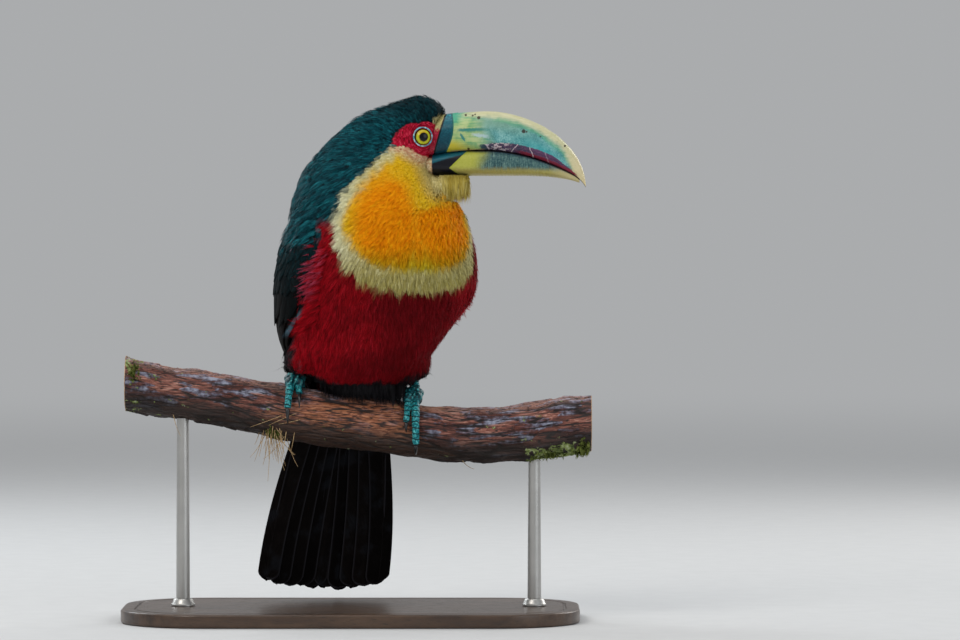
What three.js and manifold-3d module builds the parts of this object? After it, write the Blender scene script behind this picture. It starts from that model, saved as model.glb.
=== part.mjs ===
// A red-breasted toucan (Ramphastos dicolorus) at life size, perched on a cut length of branch that two
// rods carry over a flat base. Its breast faces -Y, turned a little to +X, and its head looks along +X.
// Millimetres, +Z up. The origin is the centre of the base's underside.
import * as THREE from "three";
import { mergeVertices } from "three/addons/utils/BufferGeometryUtils.js";
import Module from "manifold-3d";

const wasm = await Module();
wasm.setup();

// ---- Driving sizes ----
const GAP = 0.35; // air left between two solids that touch
const BODY_HEADING = -72; // degrees from +X to where the breast points
const HEAD_HEADING = -4; // degrees from +X to where the bill points
const CHEEK_HEADING = HEAD_HEADING - 90;
const HEAD_MIDLINE_Y = -30; // where the middle plane of the head crosses the eyes

const CROWN_Z = 347.3; // the highest feather of the crown
const NECK_CUT_Z = 262; // between trunk and neck

const BILL = {
  root: 52.5, // X of the flat end inside the face, at the height of the mouth
  rootLean: 0.28, // how far the flat end leans forward for each millimetre up
  tip: 155.8,
  flatTop: 337.6, // height of the straight part of the culmen
  bend: 85, // X where the culmen starts to curve down
  hookZ: 287,
  mouthZ: 311.7, // highest point of the mouth line
  mouthX: 88,
  chinZ: 295.2,
  lowerTip: 151.5,
  halfWidth: 13.2,
  lowerHalfWidth: 11.8,
};

const EYE = { x: 49.4, z: 320.8, radius: 6.6, sunk: 4.1, lidInner: 5.5, lidTube: 1.0 };

const TAIL = {
  root: new THREE.Vector3(-1, 28, 176),
  tip: new THREE.Vector3(-23.5, 66, 16),
  rootHalfWidth: 20,
  halfWidth: 45.5,
  thickness: 5.5,
  feathers: 10,
};

const PERCH = { from: -150, to: 160 };
const BASE = { length: 304, width: 156, height: 9, bevel: 1.2 };
const ROD = { radius: 4, xs: [-112, 122], collar: 8, collarHeight: 5 };

// ---- Small tools ----
const radians = THREE.MathUtils.degToRad;
const mix = THREE.MathUtils.lerp;

// Rows of [key, value, value, ...] as a smooth function of the key.
function tableOf(rows) {
  const width = rows[0].length - 1;
  const keys = rows.map((row) => row[0]);
  const values = rows.flatMap((row) => row.slice(1));
  const curve = new THREE.CubicInterpolant(keys, values, width, new Float64Array(width));
  return (key) => Array.from(curve.evaluate(THREE.MathUtils.clamp(key, keys[0], keys.at(-1))));
}

// A closed body made from a capped cylinder: place(t, turn, reach) says where each point goes, with t from
// one end to the other, turn the angle round it, and reach 1 on the side and 0 at the middle of a cap.
function loft(around, along, place) {
  const shape = new THREE.CylinderGeometry(1, 1, 1, around, along);
  shape.deleteAttribute("normal");
  shape.deleteAttribute("uv");
  const merged = mergeVertices(shape, 1e-5);
  const points = merged.getAttribute("position");
  const point = new THREE.Vector3();
  for (let i = 0; i < points.count; i += 1) {
    point.fromBufferAttribute(points, i);
    const reach = Math.hypot(point.x, point.z);
    const placed = place(0.5 - point.y, Math.atan2(point.x, point.z), reach);
    points.setXYZ(i, placed.x, placed.y, placed.z);
  }
  return facingOut(merged);
}

// The same closed mesh with its faces turned so that they point outwards.
function facingOut(geometry) {
  const points = geometry.getAttribute("position");
  const corners = geometry.index.array;
  const [a, b, c] = [new THREE.Vector3(), new THREE.Vector3(), new THREE.Vector3()];
  let volume = 0;
  for (let i = 0; i < corners.length; i += 3) {
    [a, b, c].forEach((corner, k) => corner.fromBufferAttribute(points, corners[i + k]));
    volume += a.dot(b.cross(c));
  }
  if (volume > 0) return geometry;
  for (let i = 0; i < corners.length; i += 3) {
    [corners[i + 1], corners[i + 2]] = [corners[i + 2], corners[i + 1]];
  }
  return geometry;
}

function solidOf(geometry) {
  const bare = geometry.clone();
  bare.deleteAttribute("normal");
  bare.deleteAttribute("uv");
  const merged = mergeVertices(bare, 1e-4);
  const vertProperties = new Float32Array(merged.getAttribute("position").array);
  const triVerts = new Uint32Array(merged.index.array);
  return new wasm.Manifold(new wasm.Mesh({ numProp: 3, vertProperties, triVerts }));
}

function geometryOf(solid) {
  const { vertProperties, triVerts } = solid.getMesh();
  const geometry = new THREE.BufferGeometry();
  geometry.setAttribute("position", new THREE.BufferAttribute(vertProperties, 3));
  geometry.setIndex(new THREE.BufferAttribute(triVerts, 1));
  geometry.computeVertexNormals();
  return geometry;
}

// Everything on the side of a plane that its normal points to, as a large block.
function beyond(point, normal) {
  const size = 1200;
  const block = new THREE.BoxGeometry(size, size, size);
  block.translate(0, 0, size / 2);
  const turn = new THREE.Quaternion().setFromUnitVectors(
    new THREE.Vector3(0, 0, 1),
    normal.clone().normalize(),
  );
  block.applyQuaternion(turn);
  block.translate(point.x, point.y, point.z);
  return solidOf(block);
}

// The largest piece of a solid, without the slivers that a cut may leave.
function mainPiece(solid) {
  return solid.decompose().reduce((a, b) => (a.volume() > b.volume() ? a : b));
}

// A rounded rod along a smooth path, radiusAt(t) thick.
function limb(points, radiusAt, around = 10, along = 14) {
  const path = new THREE.CatmullRomCurve3(points);
  const frames = path.computeFrenetFrames(along, false);
  return loft(around, along, (t, turn, reach) => {
    const step = Math.round(t * along);
    const radius = radiusAt(t) * reach;
    return path
      .getPointAt(t)
      .addScaledVector(frames.normals[step], Math.cos(turn) * radius)
      .addScaledVector(frames.binormals[step], Math.sin(turn) * radius);
  });
}

function ellipsoid(centre, radii, around = 20, along = 12) {
  const shape = new THREE.SphereGeometry(1, around, along);
  shape.scale(...radii);
  shape.translate(...centre);
  return shape;
}

// A step of a superellipse: plain cosine or sine at power 2, squarer above it.
const squared = (value, power) => Math.sign(value) * Math.abs(value) ** (2 / power);

// ---- Body: level rings from the belly to the crown ----
// The head is turned so far to the bird's left that its long way lies along the shoulders. Each ring has
// one near face, which is the breast below and the right cheek above, so the rings hardly twist.
// height, centre x, centre y, heading of the near face, reach to it, away from it, to +X, to -X, squareness
const bodyRing = tableOf([
  [153.5, 6, 4, BODY_HEADING, 10, 20, 16, 16, 2],
  [156, 6, 2, BODY_HEADING, 20, 29, 24, 24, 2],
  [161, 6, 0, BODY_HEADING, 29, 35, 32, 32, 2.1],
  [170, 7, -3, BODY_HEADING, 37, 40, 41, 40, 2.2],
  [180, 8.5, -6, BODY_HEADING, 43, 42, 47, 46, 2.2],
  [190, 10.5, -9.5, BODY_HEADING, 46, 42.5, 52.5, 51.5, 2.2],
  [202, 14, -14, BODY_HEADING, 48, 42.5, 58.5, 55, 2.2],
  [213, 17.5, -18, BODY_HEADING, 50, 42, 64, 59, 2.2],
  [228, 19.5, -22.5, BODY_HEADING, 51, 41, 65.5, 61, 2.2],
  [242, 20.5, -25, BODY_HEADING, 50, 39, 62, 60.5, 2.2],
  [255, 20, -26, -74, 49, 38, 61, 59.5, 2.2],
  [266, 18.5, -27, -78, 47.5, 37.5, 59.5, 58.5, 2.2],
  [276, 16.5, -27.5, -83, 45, 37, 57, 55.5, 2.2],
  [286, 14.5, -28, -88, 41, 36, 49, 50, 2.2],
  [295, 13, -28.5, -91, 36, 33.5, 43, 46, 2.25],
  [303, 13.5, -29.5, -93, 30.5, 29.5, 40.5, 41, 2.3],
  [311, 17, HEAD_MIDLINE_Y, CHEEK_HEADING, 25.5, 25.5, 38, 37, 2.4],
  [320, 22, HEAD_MIDLINE_Y, CHEEK_HEADING, 22, 22, 36, 34, 2.7],
  [328, 28.5, HEAD_MIDLINE_Y, CHEEK_HEADING, 20.5, 20.5, 32, 30, 2.7],
  [335, 36, HEAD_MIDLINE_Y, CHEEK_HEADING, 17.5, 17.5, 27, 26.5, 2.5],
  [341, 43.5, HEAD_MIDLINE_Y, CHEEK_HEADING, 12.5, 12.5, 17.5, 17, 2.3],
  [345.5, 47.5, HEAD_MIDLINE_Y, CHEEK_HEADING, 6.5, 6.5, 7.5, 8, 2],
  [CROWN_Z, 48, HEAD_MIDLINE_Y, CHEEK_HEADING, 2, 2, 2, 2, 2],
]);
const BODY_RINGS = 23;

// The point of the body's surface at a height and a turn from its near face, with lift more reach.
function onBody(z, turn, lift = 0, reach = 1) {
  const [x, y, heading, near, far, plus, minus, power] = bodyRing(z);
  const ahead = radians(heading);
  const along = squared(Math.cos(turn), power);
  const beside = squared(Math.sin(turn), power);
  const across = beside * ((beside > 0 ? plus : minus) + lift);
  const forward = along * ((along > 0 ? near : far) + lift);
  return new THREE.Vector3(
    x + reach * (forward * Math.cos(ahead) - across * Math.sin(ahead)),
    y + reach * (forward * Math.sin(ahead) + across * Math.cos(ahead)),
    z,
  );
}

function bodyColumn(lift = 0) {
  const bottom = 153.5;
  return loft(24, BODY_RINGS, (t, turn, reach) => {
    const eased = (1 - Math.cos(Math.PI * t)) / 2;
    return onBody(mix(bottom, CROWN_Z, mix(t, eased, 0.55)), turn, lift, reach);
  });
}

// ---- Bill ----
function culmenZ(x) {
  if (x < BILL.bend) return BILL.flatTop - 0.0024 * (BILL.bend - x) ** 2;
  const run = (x - BILL.bend) / (BILL.tip - BILL.bend);
  return BILL.hookZ + (BILL.flatTop - BILL.hookZ) * Math.sqrt(Math.max(0, 1 - run * run));
}

function mouthZ(x) {
  const off = x - BILL.mouthX;
  const hook = Math.max(0, x - 148);
  return BILL.mouthZ - (off < 0 ? 0.0031 : 0.0045) * off * off - 0.06 * hook * hook;
}

function mandibleZ(x) {
  return BILL.chinZ - 4.6 * (Math.max(0, x - 110) / 42) ** 3;
}

// Half the width of a horn sheath that narrows from root to tip.
function taper(x, tip, halfWidth) {
  const run = Math.min(1, (x - BILL.root) / (tip - BILL.root));
  return halfWidth * Math.max(0.05, 1 - run ** 2.6) ** 0.6;
}

// How far the flat end of the bill leans at a height, fading out along the bill.
const leanAt = (z, t) => BILL.rootLean * (z - BILL.mouthZ) * (1 - t) ** 3;

// A point in the head's frame, laid off sideways from the middle plane of the head.
function onHead(x, side, z) {
  const turn = radians(HEAD_HEADING);
  const ahead = x - EYE.x;
  return new THREE.Vector3(
    EYE.x + ahead * Math.cos(turn) - side * Math.sin(turn),
    HEAD_MIDLINE_Y + ahead * Math.sin(turn) + side * Math.cos(turn),
    z,
  );
}

function upperBill(lift = 0) {
  return loft(14, 14, (t, turn, reach) => {
    const x = mix(BILL.root, BILL.tip - 0.1, Math.sin((t * Math.PI) / 2) ** 1.15) + (t > 0.99 ? lift : 0);
    const low = mouthZ(x) + GAP / 2 - lift;
    const high = Math.max(culmenZ(x) + lift, low + 0.9);
    const middle = (low + high) / 2;
    const rise = Math.cos(turn);
    const half = taper(x, BILL.tip, BILL.halfWidth) + lift;
    const side = squared(Math.sin(turn), rise > 0 ? 2.1 : 3.4) * half;
    const height = rise > 0 ? rise ** 1.05 : -((-rise) ** 0.45);
    const z = middle + height * reach * ((high - low) / 2);
    return onHead(x + leanAt(z, t), side * reach, z);
  });
}

function lowerBill(lift = 0) {
  return loft(12, 10, (t, turn, reach) => {
    const x = mix(BILL.root, BILL.lowerTip, Math.sin((t * Math.PI) / 2) ** 1.1);
    const high = mouthZ(x) - GAP / 2 + lift;
    const low = Math.min(mandibleZ(x) - lift, high - 0.8);
    const rise = Math.cos(turn);
    const half = taper(x, BILL.lowerTip, BILL.lowerHalfWidth) + lift;
    const side = squared(Math.sin(turn), rise > 0 ? 3.4 : 2.1) * half;
    const height = rise > 0 ? rise ** 0.45 : -((-rise) ** 0.9);
    const z = (low + high) / 2 + height * reach * ((high - low) / 2);
    return onHead(x + leanAt(z, t), side * reach, z);
  });
}

// The bristly feathers of the chin, under the root of the bill.
function chin() {
  return loft(16, 5, (t, turn, reach) => {
    const x = mix(40, 80, t);
    const low = mix(268, 283.5, Math.sin((t * Math.PI) / 2));
    const high = BILL.chinZ + 1.5 * (1 - t);
    const half = mix(21, 10.5, t);
    const side = squared(Math.sin(turn), 2.6) * half;
    const height = squared(Math.cos(turn), 2.6) * ((high - low) / 2);
    return onHead(x, side * reach, (high + low) / 2 + height * reach);
  });
}

// ---- Eyes ----
// side is -1 for the right eye and +1 for the left one.
function eyePlace(side) {
  const outward = onHead(EYE.x + 3.2, side * 10, EYE.z + 0.6)
    .sub(onHead(EYE.x, 0, EYE.z))
    .normalize();
  const skin = onHead(EYE.x, side * 17.6, EYE.z);
  return { outward, centre: skin.clone().addScaledVector(outward, -EYE.sunk), skin };
}

function eyeball(side, lift = 0) {
  const { centre } = eyePlace(side);
  return ellipsoid(centre.toArray(), Array(3).fill(EYE.radius + lift), 12, 7);
}

function eyelid(side) {
  const { outward, skin } = eyePlace(side);
  const ring = new THREE.TorusGeometry(EYE.lidInner + EYE.lidTube / 2, EYE.lidTube, 4, 16);
  const turn = new THREE.Quaternion().setFromUnitVectors(new THREE.Vector3(0, 0, 1), outward);
  ring.applyQuaternion(turn);
  ring.translate(skin.x, skin.y, skin.z);
  return ring;
}

// ---- Tail ----
const tailAlong = TAIL.tip.clone().sub(TAIL.root);
const tailLength = tailAlong.length();
tailAlong.normalize();
const birdLeft = new THREE.Vector3(
  -Math.sin(radians(BODY_HEADING)),
  Math.cos(radians(BODY_HEADING)),
  0,
);
const tailAcross = birdLeft.clone().addScaledVector(tailAlong, -birdLeft.dot(tailAlong)).normalize();
const tailBack = new THREE.Vector3().crossVectors(tailAcross, tailAlong).normalize();

// A fan of ten feathers, roofed a little, with the shorter outer ones rounding its end.
function tailFan(lift = 0) {
  return loft(40, 6, (t, turn, reach) => {
    const across = squared(Math.cos(turn), 3.2) * reach;
    const sunk = mix(-10, 0, t);
    const spread = mix(TAIL.rootHalfWidth, TAIL.halfWidth, Math.sin((t * Math.PI) / 2) ** 1.25);
    const feather = Math.abs(Math.sin((across * TAIL.feathers * Math.PI) / 2));
    const length = tailLength * (1 - 0.055 * Math.abs(across) ** 3) - 2.2 * (1 - feather) * t;
    const end = t > 0.9 ? 1 - 0.12 * ((t - 0.9) / 0.1) ** 2 * across * across : 1;
    const roof = -4.5 * across * across * t;
    const thick = (mix(TAIL.thickness, 3, t) / 2 + lift) * (1 - 0.35 * across * across);
    return TAIL.root
      .clone()
      .addScaledVector(tailAlong, t * length + sunk)
      .addScaledVector(tailAcross, across * (spread * end + lift))
      .addScaledVector(tailBack, squared(Math.sin(turn), 2.4) * thick * reach + roof);
  });
}

// The rump and the coverts that close over the root of the tail.
function rump(lift = 0) {
  const start = -42;
  const end = 48;
  return loft(14, 6, (t, turn, reach) => {
    const swell = Math.sin(Math.PI * mix(0.04, 0.98, t)) ** 0.6;
    const half = 6 + 24 * swell + lift;
    const deep = 3.6 + 15 * swell * mix(1, 0.55, t) + lift;
    return TAIL.root
      .clone()
      .addScaledVector(tailAlong, mix(start, end, t))
      .addScaledVector(tailAcross, Math.cos(turn) * half * reach)
      .addScaledVector(tailBack, Math.sin(turn) * deep * reach - 1.5 * (1 - t));
  });
}

// ---- Wings, folded on the flanks with their tips over the root of the tail ----
// height, turn of the front edge, turn of the back edge (degrees from the breast), thickness
const wingStation = tableOf([
  [0, 64, 94, 4.5],
  [0.08, 57, 118, 7],
  [0.25, 60, 143, 8.5],
  [0.45, 70, 158, 8.5],
  [0.65, 113, 165, 7.5],
  [0.7, 123, 166, 7],
  [0.82, 137, 169, 6],
  [0.94, 147, 171, 4.5],
  [1, 154, 168, 3],
]);
const WING_TOP = 266;
const WING_TIP = 121;
const WING_GAP = 0.7; // air round a wing in its bed

// The bed that a folded wing lies on: height, centre x, centre y, reach to the back, to +X, to -X
const wingBed = tableOf([
  [115, 1.5, 22, 34, 22, 22],
  [140, 5, 11, 38, 32, 32],
  [165, 8, 0, 43, 43.5, 43.5],
  [190, 9.5, -10, 44, 52, 51],
  [213, 16, -18, 43, 62.5, 59],
  [228, 18, -22, 41, 64.5, 60.5],
  [242, 20, -25, 39, 62, 60.5],
  [255, 19.5, -26, 38, 60, 58.5],
  [268, 18, -27, 37, 56, 55],
]);

function onBed(z, turn, lift) {
  const [x, y, back, plus, minus] = wingBed(z);
  const ahead = radians(BODY_HEADING);
  const along = squared(Math.cos(turn), 2.2);
  const beside = squared(Math.sin(turn), 2.2);
  const forward = along * ((along > 0 ? back + 8 : back) + lift);
  const across = beside * ((beside > 0 ? plus : minus) + lift);
  return new THREE.Vector3(
    x + forward * Math.cos(ahead) - across * Math.sin(ahead),
    y + forward * Math.sin(ahead) + across * Math.cos(ahead),
    z,
  );
}

// side is -1 for the right wing and +1 for the left one.
function wing(side, grow = 0) {
  return loft(12, 13, (t, turn, reach) => {
    const s = mix(t, (1 - Math.cos(Math.PI * t)) / 2, 0.5);
    const [edge, back, full] = wingStation(s);
    const tuck = side > 0 ? 1 - s : 0; // the left wing is pulled in further, under the feathers of the flank
    const front = edge + 26 * tuck;
    const thickness = full * (1 - 0.45 * tuck);
    const across = squared(Math.cos(turn), 2.8) * reach;
    const angle = mix(front, back, (1 + across) / 2) + 1.4 * grow * across ** 7;
    const face = Math.abs(Math.sin(turn)) < 1e-6 ? 0 : Math.sign(Math.sin(turn));
    const depth = squared(Math.sin(turn), 2.6) * (face > 0 ? thickness : 2.2) + face * grow;
    const z = mix(WING_TOP, WING_TIP, s) + (t < 0.02 ? grow : 0) - (t > 0.98 ? grow : 0);
    return onBed(z, side * radians(angle), depth * reach);
  });
}

// ---- Perch ----
// x, height of the middle, radius
const branchStation = tableOf([
  [-160, 159, 18.6],
  [-118, 151, 17.4],
  [-82, 145.6, 17.5],
  [-45, 138, 18.5],
  [-20, 133.8, 18.3],
  [16, 129.8, 18.7],
  [40, 126.4, 18.5],
  [65, 123.2, 18.4],
  [89, 122.6, 18.8],
  [113, 124.4, 19.3],
  [138, 128, 19.8],
  [165, 131.6, 19.2],
]);

function branch(lift = 0) {
  return loft(18, 16, (t, turn, reach) => {
    const x = mix(PERCH.from, PERCH.to, t);
    const [z, radius] = branchStation(x);
    const knots = 0.5 * Math.sin(x * 0.11 + 3 * turn) + 0.35 * Math.sin(x * 0.23 - 2 * turn);
    const round = (radius + lift + knots) * reach;
    return new THREE.Vector3(x, 0.98 * round * Math.sin(turn), z + round * Math.cos(turn));
  });
}

// ---- Legs: each toe wraps the branch from the top, forwards (angle falls) or backwards (angle rises) ----
// angles are in degrees, 90 on top of the branch and 0 on its front
const LEGS = {
  right: {
    ball: [-37.5, -3, 160.2],
    ankle: [-29, 4, 174],
    thigh: { centre: [-26, -6, 174], radii: [20, 20, 19], hem: 165.5 },
    toes: {
      front_outer: { from: -39.5, to: -41.5, end: 12, claw: -19, thick: 2.7 },
      front_inner: { from: -36, to: -33.8, end: 44, claw: 16, thick: 2.4 },
      back_outer: { from: -39.5, to: -43, end: 158, claw: 188, thick: 2.5 },
      back_inner: { from: -35.5, to: -30.5, end: 136, claw: 162, thick: 2.1 },
    },
  },
  left: {
    ball: [41, -4, 150.5],
    ankle: [38, 10, 165.5],
    thigh: { centre: [35, -1, 171], radii: [19, 19, 19], hem: 157 },
    toes: {
      front_outer: { from: 43, to: 43.3, end: -21, claw: -50, thick: 2.75 },
      front_inner: { from: 39, to: 36.9, end: 15, claw: -4, thick: 2.4 },
      back_outer: { from: 43, to: 46.5, end: 158, claw: 188, thick: 2.5 },
      back_inner: { from: 38.5, to: 33.5, end: 136, claw: 162, thick: 2.1 },
    },
  },
};

// A point off the branch's surface, by its angle round the branch.
function onBranch(x, angle, away) {
  const [z, radius] = branchStation(x);
  const reach = radius + away + 0.75;
  return new THREE.Vector3(x, -reach * Math.cos(radians(angle)), z + reach * Math.sin(radians(angle)));
}

function toePath({ from, to, end, thick }, stop) {
  const steps = 6;
  const start = end < 90 ? 82 : 98;
  return Array.from({ length: steps + 1 }, (_, i) => {
    const run = (i / steps) * stop;
    const lift = thick + 1.6 * (1 - i / steps) ** 2;
    return onBranch(mix(from, to, run), mix(start, end, run), lift);
  });
}

function toe(shape) {
  const joints = 4;
  const radius = (t) => shape.thick * (1.04 - 0.22 * t + 0.06 * Math.cos(2 * Math.PI * joints * t));
  return limb(toePath(shape, 1), radius, 6, 6);
}

function claw(shape) {
  const forward = Math.sign(shape.claw - shape.end);
  const gapAngle = forward * 1.8;
  const steps = 4;
  const points = Array.from({ length: steps + 1 }, (_, i) => {
    const run = i / steps;
    const arch = 1.5 * Math.sin(Math.PI * run) + mix(shape.thick, 0.5, run);
    return onBranch(shape.to, mix(shape.end + gapAngle, shape.claw, run), arch);
  });
  return limb(points, (t) => mix(0.72 * shape.thick, 0.32, t ** 0.85), 6, 4);
}

function leg({ ball, ankle, toes }) {
  const [x, y, z] = ball;
  const shank = limb(
    [new THREE.Vector3(x, y, z), new THREE.Vector3(x + 2, y + 3, z + 6), new THREE.Vector3(...ankle)],
    (t) => mix(3.3, 2.8, t) + 0.4 * Math.cos(2 * Math.PI * t),
    8,
    4,
  );
  const parts = [ellipsoid([x, y + 1, z - 1], [5.2, 6.2, 4.6], 10, 6), shank];
  Object.values(toes).forEach((shape) => parts.push(toe(shape)));
  return parts.map(solidOf).reduce((sum, solid) => sum.add(solid));
}

// ---- Joining and parting ----
const branchSolid = solidOf(branch());
const branchRoom = solidOf(branch(GAP + 0.1));
const upperRoom = solidOf(upperBill(GAP));
const lowerRoom = solidOf(lowerBill(GAP));
const tailRoom = solidOf(tailFan(GAP));

const SIDES = { right: -1, left: 1 };

// Each leg's own way up through the feathers, a little wider than its shank.
function legRoom({ ball, ankle }) {
  const [x, y, z] = ball;
  const past = new THREE.Vector3(ankle[0], ankle[1] + 2, ankle[2] + 4);
  const way = [new THREE.Vector3(x, y - 1, z - 3), new THREE.Vector3(x + 2, y + 3, z + 6), past];
  return solidOf(limb(way, (t) => mix(8, 5.5, t), 9, 4));
}
const legRooms = legRoom(LEGS.right).add(legRoom(LEGS.left));

let whole = solidOf(bodyColumn()).add(solidOf(chin())).add(solidOf(rump()));
for (const side of Object.values(SIDES)) whole = whole.add(solidOf(eyelid(side)));
whole = whole.subtract(tailRoom).subtract(upperRoom).subtract(lowerRoom).subtract(branchRoom);
whole = whole.subtract(legRooms);
for (const side of Object.values(SIDES)) {
  whole = whole.subtract(solidOf(wing(side, WING_GAP))).subtract(solidOf(eyeball(side, GAP)));
}

// The neck parts from the trunk on a level cut, and from the head on a cut from the throat to the nape.
const up = new THREE.Vector3(0, 0, 1);
const throat = new THREE.Vector3(72, HEAD_MIDLINE_Y, 281.5);
const headUp = new THREE.Vector3(0.46, 0, 1).normalize();
const neckBase = new THREE.Vector3(0, 0, NECK_CUT_Z);
const lifted = (point, normal) => point.clone().addScaledVector(normal, GAP);
const aboveNeckCut = beyond(lifted(neckBase, up), up);
const headSide = beyond(lifted(throat, headUp), headUp);
const trunk = mainPiece(whole.subtract(beyond(neckBase, up)));
const neck = mainPiece(whole.intersect(aboveNeckCut).subtract(beyond(throat, headUp)));
const head = mainPiece(whole.intersect(headSide));

// A drumstick of dark feathers round each ankle, filling the room between belly and foot.
const trunkRoom = solidOf(bodyColumn(GAP)).add(solidOf(rump(GAP)));
const legSolids = Object.fromEntries(Object.entries(LEGS).map(([name, shape]) => [name, leg(shape)]));
function thigh(name) {
  const { centre, radii, hem } = LEGS[name].thigh;
  return mainPiece(
    solidOf(ellipsoid(centre, radii, 12, 7))
      .subtract(trunkRoom)
      .subtract(branchRoom)
      .subtract(legRooms)
      .subtract(tailRoom)
      .subtract(solidOf(wing(SIDES[name], WING_GAP)))
      .intersect(beyond(new THREE.Vector3(0, 0, hem), up)),
  );
}

// ---- The scene graph ----
const material = (color, roughness, metalness = 0) =>
  new THREE.MeshStandardMaterial({ color, roughness, metalness });
const MATERIALS = {
  red_feather: material(0x8f0812, 0.8),
  black_feather: material(0x0b0c10, 0.6),
  bib_feather: material(0xe8901c, 0.75),
  cap_feather: material(0x0c3a44, 0.55),
  bill_horn: material(0x9fb88a, 0.3),
  eye: material(0x20210c, 0.05),
  foot_scale: material(0x1f9ba0, 0.45),
  claw: material(0x15191c, 0.35),
  bark: material(0x6b3a2a, 0.85),
  stand_base: material(0x2b211b, 0.4),
  stand_metal: material(0x8c8a84, 0.3, 1),
};

const toucan = new THREE.Group();
function addPart(name, geometry, finish, group = toucan) {
  const mesh = new THREE.Mesh(geometry, MATERIALS[finish]);
  mesh.name = name;
  group.add(mesh);
  return mesh;
}
const addSolid = (name, solid, finish) => addPart(name, geometryOf(solid), finish);

addSolid("trunk", trunk, "red_feather");
addSolid("neck", neck, "bib_feather");
addSolid("head", head, "cap_feather");
addPart("bill_upper", upperBill(), "bill_horn");
addPart("bill_lower", lowerBill(), "bill_horn");
addPart("tail", tailFan(), "black_feather");

for (const [name, side] of Object.entries(SIDES)) {
  addPart(`eye_${name}`, eyeball(side), "eye");
  addSolid(`wing_${name}`, mainPiece(solidOf(wing(side)).subtract(tailRoom)), "black_feather");

  const { ball, toes } = LEGS[name];
  const clawSolids = Object.entries(toes).map(([toeName, shape]) => [toeName, claw(shape)]);
  const ankleCut = new THREE.Vector3(ball[0], ball[1] + 1.5, ball[2] + 4.6);
  const shankWay = new THREE.Vector3(0, 0.3, 0.95).normalize();
  const bare = legSolids[name].subtract(branchRoom);
  const shank = mainPiece(bare.intersect(beyond(lifted(ankleCut, shankWay), shankWay)));
  addSolid(`thigh_${name}`, thigh(name), "black_feather");
  addSolid(`shank_${name}`, shank, "foot_scale");
  addSolid(`foot_${name}`, mainPiece(bare.subtract(beyond(ankleCut, shankWay))), "foot_scale");
  clawSolids.forEach(([toeName, geometry]) => addPart(`claw_${name}_${toeName}`, geometry, "claw"));
}

addSolid("perch_branch", branchSolid, "bark");

// ---- Stand ----
function standBase() {
  const corner = BASE.width * 0.36;
  const half = { x: BASE.length / 2 - BASE.bevel, y: BASE.width / 2 - BASE.bevel };
  const outline = new THREE.Shape();
  outline.moveTo(-half.x + corner, -half.y);
  outline.lineTo(half.x - corner, -half.y);
  outline.absarc(half.x - corner, -half.y + corner, corner, -Math.PI / 2, 0);
  outline.absarc(half.x - corner, half.y - corner, corner, 0, Math.PI / 2);
  outline.absarc(-half.x + corner, half.y - corner, corner, Math.PI / 2, Math.PI);
  outline.absarc(-half.x + corner, -half.y + corner, corner, Math.PI, 1.5 * Math.PI);
  const plate = new THREE.ExtrudeGeometry(outline, {
    depth: BASE.height - 2 * BASE.bevel,
    bevelThickness: BASE.bevel,
    bevelSize: BASE.bevel,
    bevelSegments: 1,
    curveSegments: 4,
  });
  plate.translate(0, 0, BASE.bevel);
  return plate;
}
addSolid("stand_base", solidOf(standBase()), "stand_base");

// Each rod stands on the base and ends against the underside of the branch.
ROD.xs.forEach((x, i) => {
  const top = branchStation(x)[0];
  const foot = BASE.height + GAP;
  const rod = new THREE.CylinderGeometry(ROD.radius, ROD.radius, top - foot, 14);
  rod.rotateX(Math.PI / 2);
  rod.translate(x, 0, (top + foot) / 2);
  const collar = new THREE.CylinderGeometry(ROD.collar * 0.8, ROD.collar, ROD.collarHeight, 14);
  collar.rotateX(Math.PI / 2);
  collar.translate(x, 0, foot + ROD.collarHeight / 2);
  const post = solidOf(rod).add(solidOf(collar)).subtract(branchRoom);
  addSolid(`stand_rod_${i === 0 ? "left" : "right"}`, mainPiece(post), "stand_metal");
});

export default toucan;
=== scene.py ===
# %% [markdown]
# # A red-breasted toucan on a display perch
#
# The solids of the bird, its perch and its stand are already fixed: they give every length in this lesson.
# What is missing is all that the eye enjoys: feathers, horn, scaly feet, bark, wood and steel.
# Each step below says what the real thing is, how it could be made, and why one way was chosen.
# Sizes are written in millimetres, as on a maker's drawing, and turned to metres by `MM`.

# %% Load the fixed solids
import math
from contextlib import contextmanager

import bmesh
import bpy
import numpy as np
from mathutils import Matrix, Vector
from mathutils.bvhtree import BVHTree


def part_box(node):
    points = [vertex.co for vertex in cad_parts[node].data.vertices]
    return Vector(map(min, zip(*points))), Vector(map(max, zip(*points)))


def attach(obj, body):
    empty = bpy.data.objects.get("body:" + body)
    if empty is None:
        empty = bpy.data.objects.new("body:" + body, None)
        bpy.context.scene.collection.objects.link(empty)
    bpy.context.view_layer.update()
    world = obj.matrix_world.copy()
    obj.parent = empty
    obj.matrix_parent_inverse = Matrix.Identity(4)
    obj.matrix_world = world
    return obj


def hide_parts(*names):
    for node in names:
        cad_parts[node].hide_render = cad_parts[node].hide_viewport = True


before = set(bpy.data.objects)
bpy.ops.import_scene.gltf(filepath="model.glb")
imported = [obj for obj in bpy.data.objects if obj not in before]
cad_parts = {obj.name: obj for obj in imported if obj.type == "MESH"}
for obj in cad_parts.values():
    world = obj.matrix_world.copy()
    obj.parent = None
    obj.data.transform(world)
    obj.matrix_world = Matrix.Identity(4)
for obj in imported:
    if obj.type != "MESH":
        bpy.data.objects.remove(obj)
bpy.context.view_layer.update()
bpy.ops.object.select_all(action="DESELECT")
MM = 0.001


# %% [markdown]
# ## Driving dimensions
#
# The bird turns its breast one way and looks another, so three headings steer everything:
# where the breast points, where the bill points, and the middle plane of the head.
# A place on the head is easiest to give as forward, sideways and up, so `on_head` turns that into the frame,
# and `head_place` turns a place in the frame back into those three numbers.

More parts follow.
